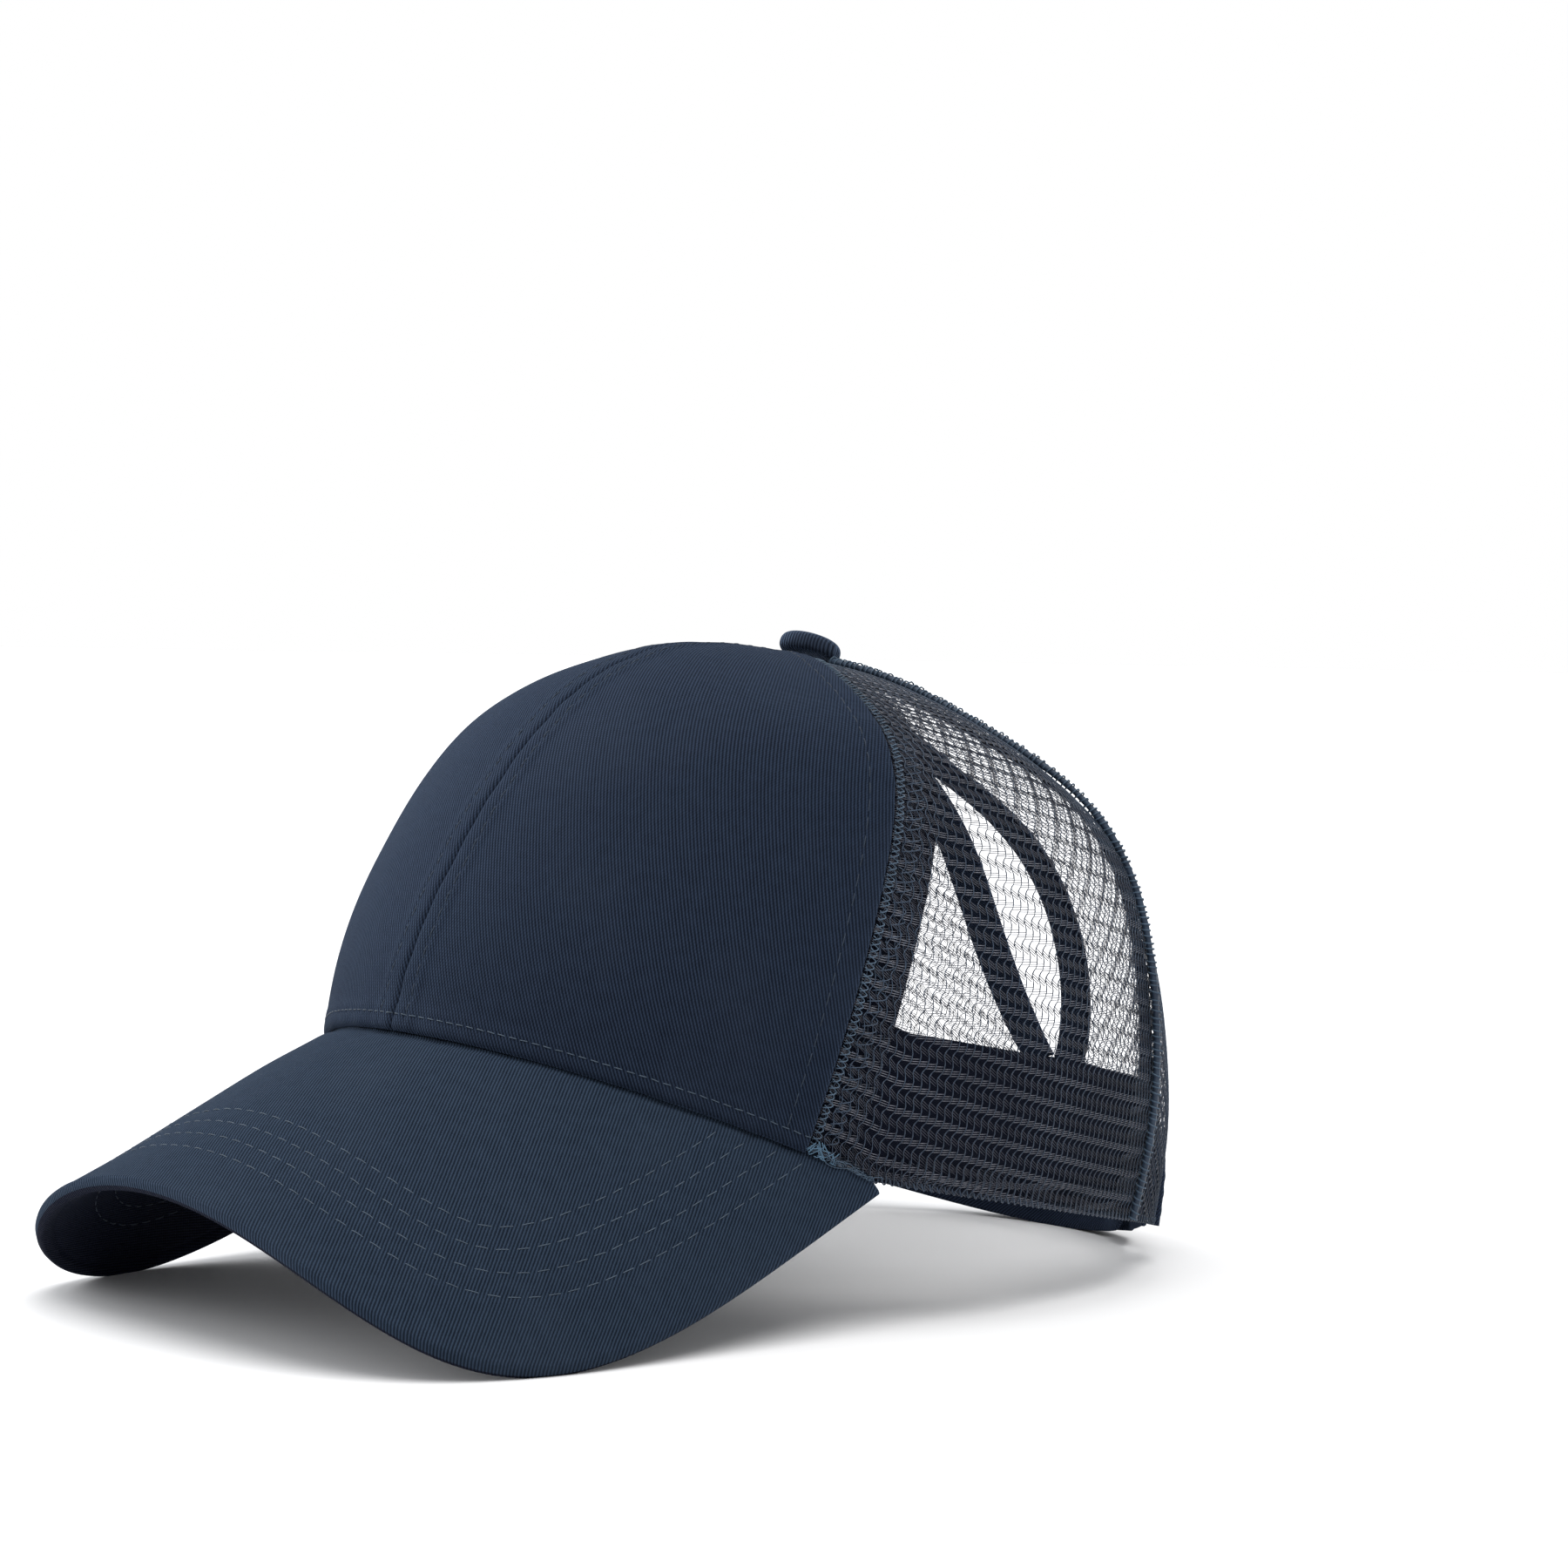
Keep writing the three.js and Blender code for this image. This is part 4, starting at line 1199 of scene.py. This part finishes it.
def seam_loops(side, angle, offset, outward, width, pitch, seed):
    """Overcast loops of thread beside a seam."""
    rng = np.random.default_rng(seed)
    path, facing = seam_path(angle, offset, outward)
    length = path_length(path)
    count = int(length / pitch)
    share = np.linspace(0, 1, 8)
    jitter = rng.uniform(-LOOP_JITTER, LOOP_JITTER, (count, 1))
    places = np.arange(count)[:, None] + LOOP_LENGTH * share + jitter
    places = places * length / (count + 1)
    point, normal = resample(path, facing, places)
    across = np.cross(unit(np.gradient(point, axis=1)), normal)
    swing = (np.sin(math.pi * share) - 0.5) * width * rng.uniform(0.75, 1.1, (count, 1))
    rise = LOOP_RISE * np.sin(2 * math.pi * share + rng.uniform(-0.5, 0.5, (count, 1)))
    point = point + across * swing[..., None] + normal * rise[..., None]
    return tubes(point * (side, 1, 1), normal * (side, 1, 1), LOOP_RADIUS, 4)


def seam_rope(side, angle, seed):
    """Ridge over a seam: the panels' edges bound together by turns of thread."""
    path, facing = seam_path(angle, 0.0, SEAM_ROPE_RISE)
    length = path_length(path)
    places = np.linspace(0, length, 260)
    point, normal = resample(path, facing, places)
    lumps = SEAM_ROPE_RADIUS * (0.8 + 0.12 * waves(point, 3.5, seed) + 0.08 * waves(point, 9, seed + 1))
    core = tubes((point * (side, 1, 1))[None], (normal * (side, 1, 1))[None], lumps[None], 8)
    places = np.linspace(0, length, int(length / SEAM_ROPE_PITCH) * 10)
    point, normal = resample(path, facing, places)
    across = np.cross(unit(np.gradient(point, axis=0)), normal)
    turn = 2 * math.pi * places / SEAM_ROPE_PITCH + 1.5 * waves(point, 4, seed + 2)
    radial = across * np.cos(turn)[:, None] + normal * np.sin(turn)[:, None]
    reach = SEAM_ROPE_RADIUS * (1.05 + 0.22 * waves(point, 1.7, seed + 3))
    line = (point + radial * reach[:, None]) * (side, 1, 1)
    return core, tubes(line[None], (radial * (side, 1, 1))[None], ROPE_TURN_RADIUS, 4)


def rim_loops(side, seed):
    """Folded lower edge of the net: a small loop at every chain."""
    rng = np.random.default_rng(seed)
    end = float(angle_beside(np.array(ARCH_OUTER_HALF + 1.0), np.array(0.0)))
    angles = np.linspace(PEAK_MEET + 0.01, end, 400)
    path = crown_point(angles, np.zeros(400), np.full(400, -NET_DEPTH))
    facing = crown_normal(angles, np.zeros(400))
    length = path_length(path)
    count = int(length / CHAIN_PITCH)
    share = np.linspace(0, 1, 7)
    places = (np.arange(count)[:, None] + 1.1 * share) * length / (count + 1)
    point, normal = resample(path, facing, places)
    fall = RIM_LOOP_HEIGHT * (1 - np.sin(math.pi * share)) * rng.uniform(0.8, 1.2, (count, 1)) - 0.05
    point[..., 2] += fall
    point = point + normal * (0.35 * np.cos(math.pi * share))[None, :, None]
    return tubes(point * (side, 1, 1), normal * (side, 1, 1), RIM_LOOP_RADIUS, 4)


def seam_tape(name, side, angle, ahead, behind):
    """Strip of tape that covers a seam on the inside."""
    s = np.linspace(0.012, float(station_near_apex(np.array(angle), BUTTON_HOLE + 5)), 110)
    v, full = tape_section(12)
    ss, vv = np.meshgrid(s, v)
    angles = angle + (ahead + (behind - ahead) * vv) / row_scale(angle, ss)
    half = SEAM_TAPE_THICKNESS / 2 * full[:, None]
    ripple = 0.05 * waves(crown(angles, ss), 7, 81)
    outer = crown_point(angles, ss, SEAM_TAPE_FACE + half + ripple) * (side, 1, 1)
    inner = crown_point(angles, ss, SEAM_TAPE_FACE - half + ripple) * (side, 1, 1)
    points, faces = slab(outer, inner)
    uv = twice(lengths_along(outer, 0), lengths_along(outer, 1))
    add_piece(name, points, faces, [LINING], uv)


# Tapes.
TAPE_STITCH_SHARE = 0.84
TAPE_GROOVE = 0.14
ARCH_OVERLAP = 1.4


def tape_section(count):
    """Places across a tape, with how full its section is at each: rounded at both edges."""
    v = graded(count, 0.8)
    return v, np.maximum(1 - np.abs(2 * v - 1) ** 7, 0) ** 0.5 * 0.86 + 0.14


def tape_faces(spot, u, v, full, proud, depth, wave_seed):
    """Outer and inner grids of a tape, from a function that places a point at a height."""
    uu, vv = np.meshgrid(u, v)
    middle = spot(uu, vv, np.zeros_like(uu))
    ripple = uneven(middle, ((0.07, 9, wave_seed), (0.12, 30, wave_seed + 1)))
    stitched = np.exp(-((vv - TAPE_STITCH_SHARE) * 9 / 0.5) ** 2) * TAPE_GROOVE
    centre = (proud - depth) / 2
    half = (proud + depth) / 2 * full[:, None]
    outer = spot(uu, vv, centre + half + (ripple - stitched) * full[:, None])
    inner = spot(uu, vv, centre - half + ripple * full[:, None])
    return outer, inner


def tape_piece(name, outer, inner, node, material=None):
    points, faces = slab(outer, inner)
    uv = twice(lengths_along(outer, 0), lengths_along(outer, 1))
    piece = add_piece(name, points, faces, [material or TAPE], uv)
    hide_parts(node)


def slit_tape(hand, side):
    corner = ARCH_OUTER_RISE - ARCH_OVERLAP

    def spot(u, v, outward):
        outer_length = corner + (SLIT_TAPE_TOP - corner) * u
        inner_length = SLIT_START + SEAM_GAP + (SLIT_TAPE_TOP - SLIT_START - SEAM_GAP) * u
        x = slit_half(inner_length) * (1 - v) + slit_outer(outer_length) * v
        length = inner_length * (1 - v) + outer_length * v
        return rear_point(x * side, length, outward)

    v, full = tape_section(26)
    outer, inner = tape_faces(spot, np.linspace(0, 1, 170), v, full, TAPE_PROUD, TAPE_DEPTH, 31)
    tape_piece(f"slit_tape_{hand}", outer, inner, f"slit_binding_{hand}")
    return tape_stitches(outer, TAPE_STITCH_SHARE, v)


def tape_stitches(grid, share, places):
    facing = grid_normals(grid)
    row = int(np.argmin(np.abs(places - share)))
    path = grid[row]
    centre = grid.mean(axis=(0, 1)) * (0, 0, 1)
    outward = np.sign(np.sum((path - centre) * facing[row], axis=1, keepdims=True))
    return path[3:-3], (facing[row] * outward)[3:-3]


def arch_tape():
    def spot(u, v, outward):
        turn = math.pi * (1 - u)
        inner_x, inner_y = arch_outline(turn, ARCH_HALF_WIDTH, ARCH_RISE)
        outer_x, outer_y = arch_outline(turn, ARCH_OUTER_HALF, ARCH_OUTER_RISE)
        end = smoothstep(np.abs(u - 0.5), 0.44, 0.5)
        x = inner_x * (1 - v) + outer_x * v
        return rear_point(x, inner_y * (1 - v) + outer_y * v - end * ARCH_TAB_DROP, outward)

    v, full = tape_section(26)
    outer, inner = tape_faces(spot, np.linspace(0, 1, 260), v, full, TAPE_PROUD, TAPE_DEPTH, 41)
    tape_piece("arch_tape", outer, inner, "arch_binding")
    return tape_stitches(outer, TAPE_STITCH_SHARE, v)


# Sweatband. Its lower edge turns under, and its upper edge has a small roll.
BAND_FOOT_SHARE = 0.04
BAND_ROLL = 0.25
BAND_ROLL_AT = 0.94
BAND_ROLL_WIDTH = 0.05
BAND_STITCH_SHARES = (0.13, 0.9)


def sweatband():
    clear = ARCH_OUTER_HALF + BAND_END_CLEARANCE
    end = float(angle_beside(np.array(clear), np.array(0.0)))
    u = np.linspace(-end, end, 260)
    top = station_up_back(BAND_HEIGHT)
    v = graded(22, 0.7)
    uu, vv = np.meshgrid(u, v)
    s = top * np.clip((vv - BAND_FOOT_SHARE) / (1 - BAND_FOOT_SHARE), 0, 1)
    over_peak = 1 - smoothstep(np.abs(uu), PEAK_MEET * 0.8, PEAK_MEET)
    drop = (1 - np.clip(vv / BAND_FOOT_SHARE, 0, 1)) * (PEAK_THICKNESS / PEAK_COS * over_peak + SEAM_GAP)
    full = np.maximum(1 - np.abs(2 * vv - 1) ** 9, 0) ** 0.5 * 0.8 + 0.2
    roll = BAND_ROLL * np.exp(-((vv - BAND_ROLL_AT) / BAND_ROLL_WIDTH) ** 2)
    centre = -(TWILL_WALL + BAND_CLEARANCE + BAND_THICKNESS / 2)
    base = crown(uu, s)
    ripple = 0.12 * waves(base, 14, 51)
    half = BAND_THICKNESS / 2 * full
    outer = crown_point(uu, s, centre + half + ripple * 0.3, drop)
    inner = crown_point(uu, s, centre - half - roll + ripple, drop)
    tape_piece("sweatband_lining", inner, outer, "sweatband", LINING)
    facing = -crown_normal(uu, s)
    rows = []
    for share in BAND_STITCH_SHARES:
        j = int(np.argmin(np.abs(v - share)))
        rows.append((inner[j][3:-3], facing[j][3:-3]))
    return rows


# Straps and pads.
ROOT_FACE = -(TAPE_DEPTH + SEAM_GAP)
INNER_STRAP_FACE = ROOT_FACE - 0.1
LOOP_PAD_FACE = INNER_STRAP_FACE + SEAM_GAP + PAD_THICKNESS
HOOK_PAD_FACE = LOOP_PAD_FACE + SEAM_GAP + PAD_THICKNESS
OUTER_STRAP_FACE = HOOK_PAD_FACE + SEAM_GAP + STRAP_THICKNESS
STRAP_STITCH_SHARES = (0.14, 0.86)
STRAP_STITCH_SINK = 0.1
STRAP_TOP_SHARE = (STRAP_WIDTH - STRAP_DROP + STRAP_SAG) / ARCH_RISE
STRAP_PASS = ARCH_HALF_WIDTH * (1 - STRAP_TOP_SHARE**ARCH_POWER) ** (1 / ARCH_POWER) - 1


def strap_length(x, share, inset, cut):
    """Length up the back of a band's edge share, with its lower edge at 0 and its upper edge at 1."""
    slack = 1 - np.clip(np.abs(x) / ARCH_HALF_WIDTH, 0, 1) ** 2
    lower = -STRAP_DROP + STRAP_SAG * (1 - slack) + inset + cut
    return lower + (STRAP_WIDTH - 2 * inset - 2 * cut) * share


def strap_piece(name, node, ends, face_at, thickness, inset, cut_at, material, slot, seed):
    from_x, to_x = ends
    x = from_x + (to_x - from_x) * graded(130, 0.5)
    v, full = tape_section(20)
    xx, vv = np.meshgrid(x, v)
    to_end = np.minimum(np.abs(xx - from_x), np.abs(to_x - xx))
    full = full[:, None] * (0.14 + 0.86 * np.sqrt(np.clip(to_end / 0.8, 0, 1)))
    length = strap_length(xx, vv, inset, cut_at(xx))
    centre = face_at(xx) - thickness / 2
    ripple = 0.05 * waves(rear_point(xx, length, centre), 8, seed)
    stitched = STRAP_STITCH_SINK * sum(np.exp(-((vv - at) * 14) ** 2) for at in STRAP_STITCH_SHARES)
    outer = rear_point(xx, length, centre + (thickness / 2 + ripple - stitched) * full)
    inner = rear_point(xx, length, centre + (-thickness / 2 + ripple) * full)
    tape_piece(name, outer, inner, node, material)
    rows = []
    for share in STRAP_STITCH_SHARES:
        j = int(np.argmin(np.abs(v - share)))
        facing = unit(outer[j] - inner[j])
        rows.append((outer[j][4:-4], facing[4:-4]))
    return rows


def corner_cut(to_end):
    return STRAP_CORNER_CUT * 0.6 * (1 - np.clip(to_end / STRAP_CORNER_CUT, 0, 1))


def build_straps():
    strap_root = ARCH_HALF_WIDTH + STRAP_ROOT_LENGTH
    tuck = STRAP_THICKNESS + SEAM_GAP

    def left_face(x):
        share = smoothstep(x, PAD_HALF_LENGTH + 3, STRAP_PASS)
        return OUTER_STRAP_FACE + (INNER_STRAP_FACE - OUTER_STRAP_FACE) * share

    def right_face(x):
        return INNER_STRAP_FACE - tuck * smoothstep(x, PAD_HALF_LENGTH, RIGHT_STRAP_REACH - 6)

    def left_cut(x):
        return corner_cut(x + LEFT_STRAP_REACH)

    def right_cut(x):
        return corner_cut(RIGHT_STRAP_REACH - x)

    def no_cut(x):
        return np.zeros_like(x)

    ends = (-LEFT_STRAP_REACH, strap_root)
    look = (STRAP_THICKNESS, 0, left_cut, TAPE, "tape", 61)
    rows = strap_piece("strap_outer", "strap_left", ends, left_face, *look)
    ends = (-strap_root, RIGHT_STRAP_REACH)
    look = (STRAP_THICKNESS, 0, right_cut, TAPE, "tape", 62)
    rows += strap_piece("strap_inner", "strap_right", ends, right_face, *look)
    pad_look = (PAD_THICKNESS, PAD_MARGIN, no_cut, PILE, "fastener", 63)
    ends = (-PAD_HALF_LENGTH, PAD_HALF_LENGTH)
    strap_piece("pile_hooks", "hook_pad", ends, lambda x: HOOK_PAD_FACE + 0 * x, *pad_look)
    strap_piece("pile_loops", "loop_pad", ends, lambda x: LOOP_PAD_FACE + 0 * x, *pad_look)
    return rows


# Button. Its profile is in shares of its radius and height.
BUTTON_REACHES = (0.0, 0.5, 0.8, 0.92, 0.985, 1.0, 0.99, 0.93, 0.8, 0.62, 0.42, 0.2, 0.0)
BUTTON_RISES = (0.06, 0.05, 0.04, 0.08, 0.22, 0.4, 0.58, 0.76, 0.885, 0.955, 0.985, 1.0, 1.004)
BUTTON_SMOOTHING = 6
BUTTON_FOLDS = 11
FOLD_DEPTH = 0.012


def smoothed(values):
    for _ in range(BUTTON_SMOOTHING):
        values[1:-1] = 0.25 * values[:-2] + 0.5 * values[1:-1] + 0.25 * values[2:]
    return values


def button():
    """Covered button: its cloth is drawn over a dome, with small folds where it turns under."""
    low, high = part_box("button")
    turn = np.array(Matrix.Rotation(-BUTTON_LEAN, 3, "X"))
    t = np.linspace(0, 1, len(BUTTON_REACHES))
    fine = np.linspace(0, 1, 49)
    radius = smoothed(np.interp(fine, t, BUTTON_REACHES))
    height = smoothed(np.interp(fine, t, BUTTON_RISES))
    around = np.linspace(0, 2 * math.pi, 97)[:-1]
    low_down = smoothstep(0.45 - height, 0, 0.4)[:, None]
    folds = 1 + FOLD_DEPTH * np.sin(BUTTON_FOLDS * around)[None, :] * low_down
    r = BUTTON_RADIUS * radius[:, None] * folds
    z = BUTTON_HEIGHT * (height - 0.5)
    points = np.stack([r * np.cos(around), r * np.sin(around), np.broadcast_to(z[:, None], r.shape)], -1)
    rings = points[1:-1]
    body = np.concatenate([rings.reshape(-1, 3), points[:1, 0], points[-1:, 0]])
    count = len(around)
    index = np.arange(rings.shape[0] * count).reshape(-1, count)
    after = np.roll(index, -1, axis=1)
    wall = np.stack([index[:-1], after[:-1], after[1:], index[1:]], -1).reshape(-1, 4)
    bottom, top = index.size, index.size + 1
    fans = [
        np.stack([np.full(count, bottom), after[0], index[0]], -1),
        np.stack([np.full(count, top), index[-1], after[-1]], -1),
    ]
    uv = np.concatenate([rings[..., :2].reshape(-1, 2), points[:1, 0, :2], points[-1:, 0, :2]])
    middle = np.linalg.solve(CROWN_TURN, np.array((low + high) / 2) - CROWN_ORIGIN) / MM
    # The button's cloth is lighter than the crown's twill: painted light.
    piece = add_piece("button_cover", body @ turn.T + middle, [wall, *fans], [LIT_BUTTON_TWILL], uv)
    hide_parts("button")


THREAD_FACING = (0.9, -0.3, 0.3)
TACK_ALONG = (0.002, 0.062)
TACK_HEIGHTS = (0.004, 0.02)
TACK_WANDER = 0.022
TACK_STRETCH = 0.014
TACK_SLANT = 0.12
TACK_COUNT = 30
TACK_RADIUS = 0.12
END_COUNT = 24
END_RADIUS = 0.075
BAR_COUNT = 9


def thread_tube(path, facing, radius):
    return tubes(path[None], np.broadcast_to(unit(np.array(facing, float)), path.shape)[None], radius, 4)


def tack_and_ends(side, seed):
    """Dense tack at the foot of a side seam, tangled ends along the peak's joint and one loose curl."""
    rng = np.random.default_rng(seed)
    t = np.linspace(0, 1, 9)
    facing = np.array(THREAD_FACING) * (side, 1, 1)
    tack, ends = [], []
    for _ in range(TACK_COUNT):
        a = SIDE_SEAM + rng.uniform(*TACK_ALONG) + TACK_WANDER * rng.uniform(-1, 1) * (t - 0.5)
        h = rng.uniform(*TACK_HEIGHTS) + TACK_STRETCH * rng.uniform(-1, 1) * (t - 0.5)
        h = h - TACK_SLANT * (a - SIDE_SEAM)
        path = crown_point(a, np.maximum(h, 0.001), 0.1 + 0.25 * np.sin(math.pi * t))
        tack.append(thread_tube(path * (side, 1, 1), facing, TACK_RADIUS))
    for _ in range(END_COUNT):
        a = rng.uniform(SIDE_SEAM + 0.05, PEAK_MEET) + 0.03 * rng.uniform(-1, 1) * t
        a = a + 0.006 * np.sin(6 * t + 6 * rng.uniform())
        h = 0.002 + 0.008 * np.abs(np.sin(3 * t + 6 * rng.uniform())) * rng.uniform(0.2, 1)
        path = crown_point(a, h, 0.1 + 0.5 * np.sin(math.pi * t) * rng.uniform())
        ends.append(thread_tube(path * (side, 1, 1), facing, END_RADIUS))
    t = np.linspace(0, 1, 24)
    w, run = peak_place(SIDE_SEAM + 0.055 + 0.085 * t, np.zeros(24))
    path = peak_top(w, run + 2.0 + 2.6 * np.sin(math.pi * t) ** 0.7) + (0.1, -0.1, 0.3)
    ends.append(thread_tube(path * (side, 1, 1), facing, 0.08))
    tail_height = 0.017 + 0.008 * t**3 + 0.001 * np.sin(9 * t)
    tail = crown_point(SIDE_SEAM - 0.02 - 0.075 * t, tail_height, 0.1 + 0.1 * t)
    ends.append(thread_tube(tail * (side, 1, 1), facing, 0.07))
    return tack, ends


def loose_threads():
    bodies, kinds = [], []
    for side, seed in ((1, 71), (-1, 72)):
        tack, ends = tack_and_ends(side, seed)
        bodies += tack + ends
        kinds += [0] * len(tack) + [1] * len(ends)
    rng = np.random.default_rng(73)
    for side in (1, -1):
        for _ in range(BAR_COUNT):
            x = side * (ARCH_HALF_WIDTH + rng.uniform(0.3, 1.3))
            y = 0.5 + rng.uniform(-0.6, 0.6) + np.linspace(0, 5, 6)
            path = rear_point(x + rng.normal(0, 0.15, 6), y, np.full(6, TAPE_PROUD + 0.05))
            bodies.append(thread_tube(path, (0, 1, 0), TACK_RADIUS))
            kinds.append(0)
    points, faces, order = joined(bodies)
    add_piece("tack_threads", points, faces, [TACK, LOOP_THREAD], kinds=np.array(kinds)[order])


def stitching(name, rows, material, pitch):
    bodies = [stitch_run(path, facing, pitch, k) for k, (path, facing) in enumerate(rows)]
    points, faces, _ = joined(bodies)
    add_piece(name, points, faces, [material])


def build_cap():
    seams, hems, tapes = [], [], []
    for hand, side in (("left", 1), ("right", -1)):
        panel_seams, hem = front_panel(hand, side)
        seams += panel_seams
        hems.append(hem)
        build_net(hand, side)
        tapes.append(slit_tape(hand, side))
        seam_tape(f"side_seam_tape_{hand}", side, SIDE_SEAM, 0.2, SEAM_DOUBLING)
        seam_tape(f"rear_seam_tape_{hand}", side, REAR_SEAM, -5.5, 5.5)
    tapes.append(arch_tape())
    seams += sweatband()
    tapes += build_straps()
    outline = build_peak()
    for distance in PEAK_STITCH_ROWS:
        tapes.append(peak_face_line(distance, False, outline))
        seams.append(peak_face_line(distance, True, outline))
    button()
    stitching("seam_stitches", seams, SEAM_THREAD, STITCH_PITCH)
    stitching("edge_stitches", tapes, THREAD, STITCH_PITCH)
    stitching("hem_stitches", hems, THREAD, HEM_PITCH)
    bodies, kinds = [], []
    for side in (1, -1):
        core, turns = seam_rope(side, REAR_SEAM, 91)
        edge_loops = seam_loops(side, SIDE_SEAM, *EDGE_LOOPS)
        fold_loops = seam_loops(side, SIDE_SEAM, *FOLD_LOOPS)
        bodies += [core, turns, edge_loops, fold_loops, rim_loops(side, 94)]
        kinds += [0, 1, 1, 0, 0]
    points, faces, order = joined(bodies)
    add_piece("seam_overcast", points, faces, [CHAIN, LOOP_THREAD], kinds=np.array(kinds)[order])
    loose_threads()


# Stage: a wide white floor that meets the white surroundings.
FLOOR_RADIUS = 8.0
SURROUND_LIGHT = 0.62
SURROUND_SEEN = 1.0
KEY_LIGHT = ((0.3, -0.12, 0.95), 2.7, math.radians(50), (1.0, 0.995, 0.98))
SIDE_LIGHT = ((-0.72, -0.46, 0.52), 2.0, math.radians(60), (0.97, 0.985, 1.0))


def stage_material():
    made = Nodes("studio_white")
    place = made.node("ShaderNodeTexCoord").outputs["Object"]
    paper = made.noise(place, 4.0, 4.0)
    made.link(made.mix(paper, (0.79, 0.79, 0.8), (0.82, 0.82, 0.83)), made.shader.inputs["Base Color"])
    made.shader.inputs["Roughness"].default_value = 0.9
    made.shader.inputs["Specular IOR Level"].default_value = 0.0
    return made.material


def build_stage():
    around = np.linspace(0, 2 * math.pi, 97)[:-1]
    points = [(FLOOR_RADIUS * math.cos(a), FLOOR_RADIUS * math.sin(a), 0.0) for a in around]
    mesh = bpy.data.meshes.new("studio_floor")
    mesh.from_pydata(points, [], [tuple(range(len(points)))])
    mesh.materials.append(stage_material())
    floor = bpy.data.objects.new("studio_floor", mesh)
    bpy.context.scene.collection.objects.link(floor)


def add_sun(name, toward, strength, spread, colour):
    light = bpy.data.lights.new(name, "SUN")
    light.energy = strength
    light.angle = spread
    light.color = colour
    lamp = bpy.data.objects.new(name, light)
    lamp.rotation_euler = Vector(toward).to_track_quat("Z", "Y").to_euler()
    bpy.context.scene.collection.objects.link(lamp)


def build_surroundings():
    """Soft even light, seen by the camera as plain white."""
    world = bpy.data.worlds.new("studio")
    world.use_nodes = True
    tree = world.node_tree
    back = tree.nodes["Background"]
    back.inputs["Color"].default_value = (0.98, 0.99, 1.0, 1)
    back.inputs["Strength"].default_value = SURROUND_LIGHT
    seen = tree.nodes.new("ShaderNodeBackground")
    seen.inputs["Color"].default_value = (1, 1, 1, 1)
    seen.inputs["Strength"].default_value = SURROUND_SEEN
    ray = tree.nodes.new("ShaderNodeLightPath")
    both = tree.nodes.new("ShaderNodeMixShader")
    tree.links.new(ray.outputs["Is Camera Ray"], both.inputs[0])
    tree.links.new(back.outputs[0], both.inputs[1])
    tree.links.new(seen.outputs[0], both.inputs[2])
    tree.links.new(both.outputs[0], tree.nodes["World Output"].inputs["Surface"])
    bpy.context.scene.world = world


def build_light():
    build_surroundings()
    add_sun("key", *KEY_LIGHT)
    add_sun("side", *SIDE_LIGHT)
    bpy.context.scene.view_settings.view_transform = "Standard"


def build_camera():
    a, e, r = VIEW_AZIMUTH, VIEW_ELEVATION, VIEW_ROLL
    back = Vector((math.sin(a) * math.cos(e), -math.cos(a) * math.cos(e), math.sin(e)))
    level = Vector((math.cos(a), math.sin(a), 0))
    up = back.cross(level)
    right = level * math.cos(r) + up * math.sin(r)
    top = up * math.cos(r) - level * math.sin(r)
    eye = Vector(VIEW_TARGET) + back * VIEW_DISTANCE + right * VIEW_RIGHT + top * VIEW_UP
    data = bpy.data.cameras.new("camera")
    data.lens = LENS
    data.sensor_width = SENSOR
    data.sensor_fit = "HORIZONTAL"
    data.clip_start = CLIP_NEAR
    data.clip_end = CLIP_FAR
    camera = bpy.data.objects.new("camera", data)
    turn = Matrix((right, top, back)).transposed().to_4x4()
    camera.matrix_world = Matrix.Translation(eye * MM) @ turn
    bpy.context.scene.collection.objects.link(camera)
    bpy.context.scene.camera = camera


build_camera()
build_cap()
build_stage()
build_light()
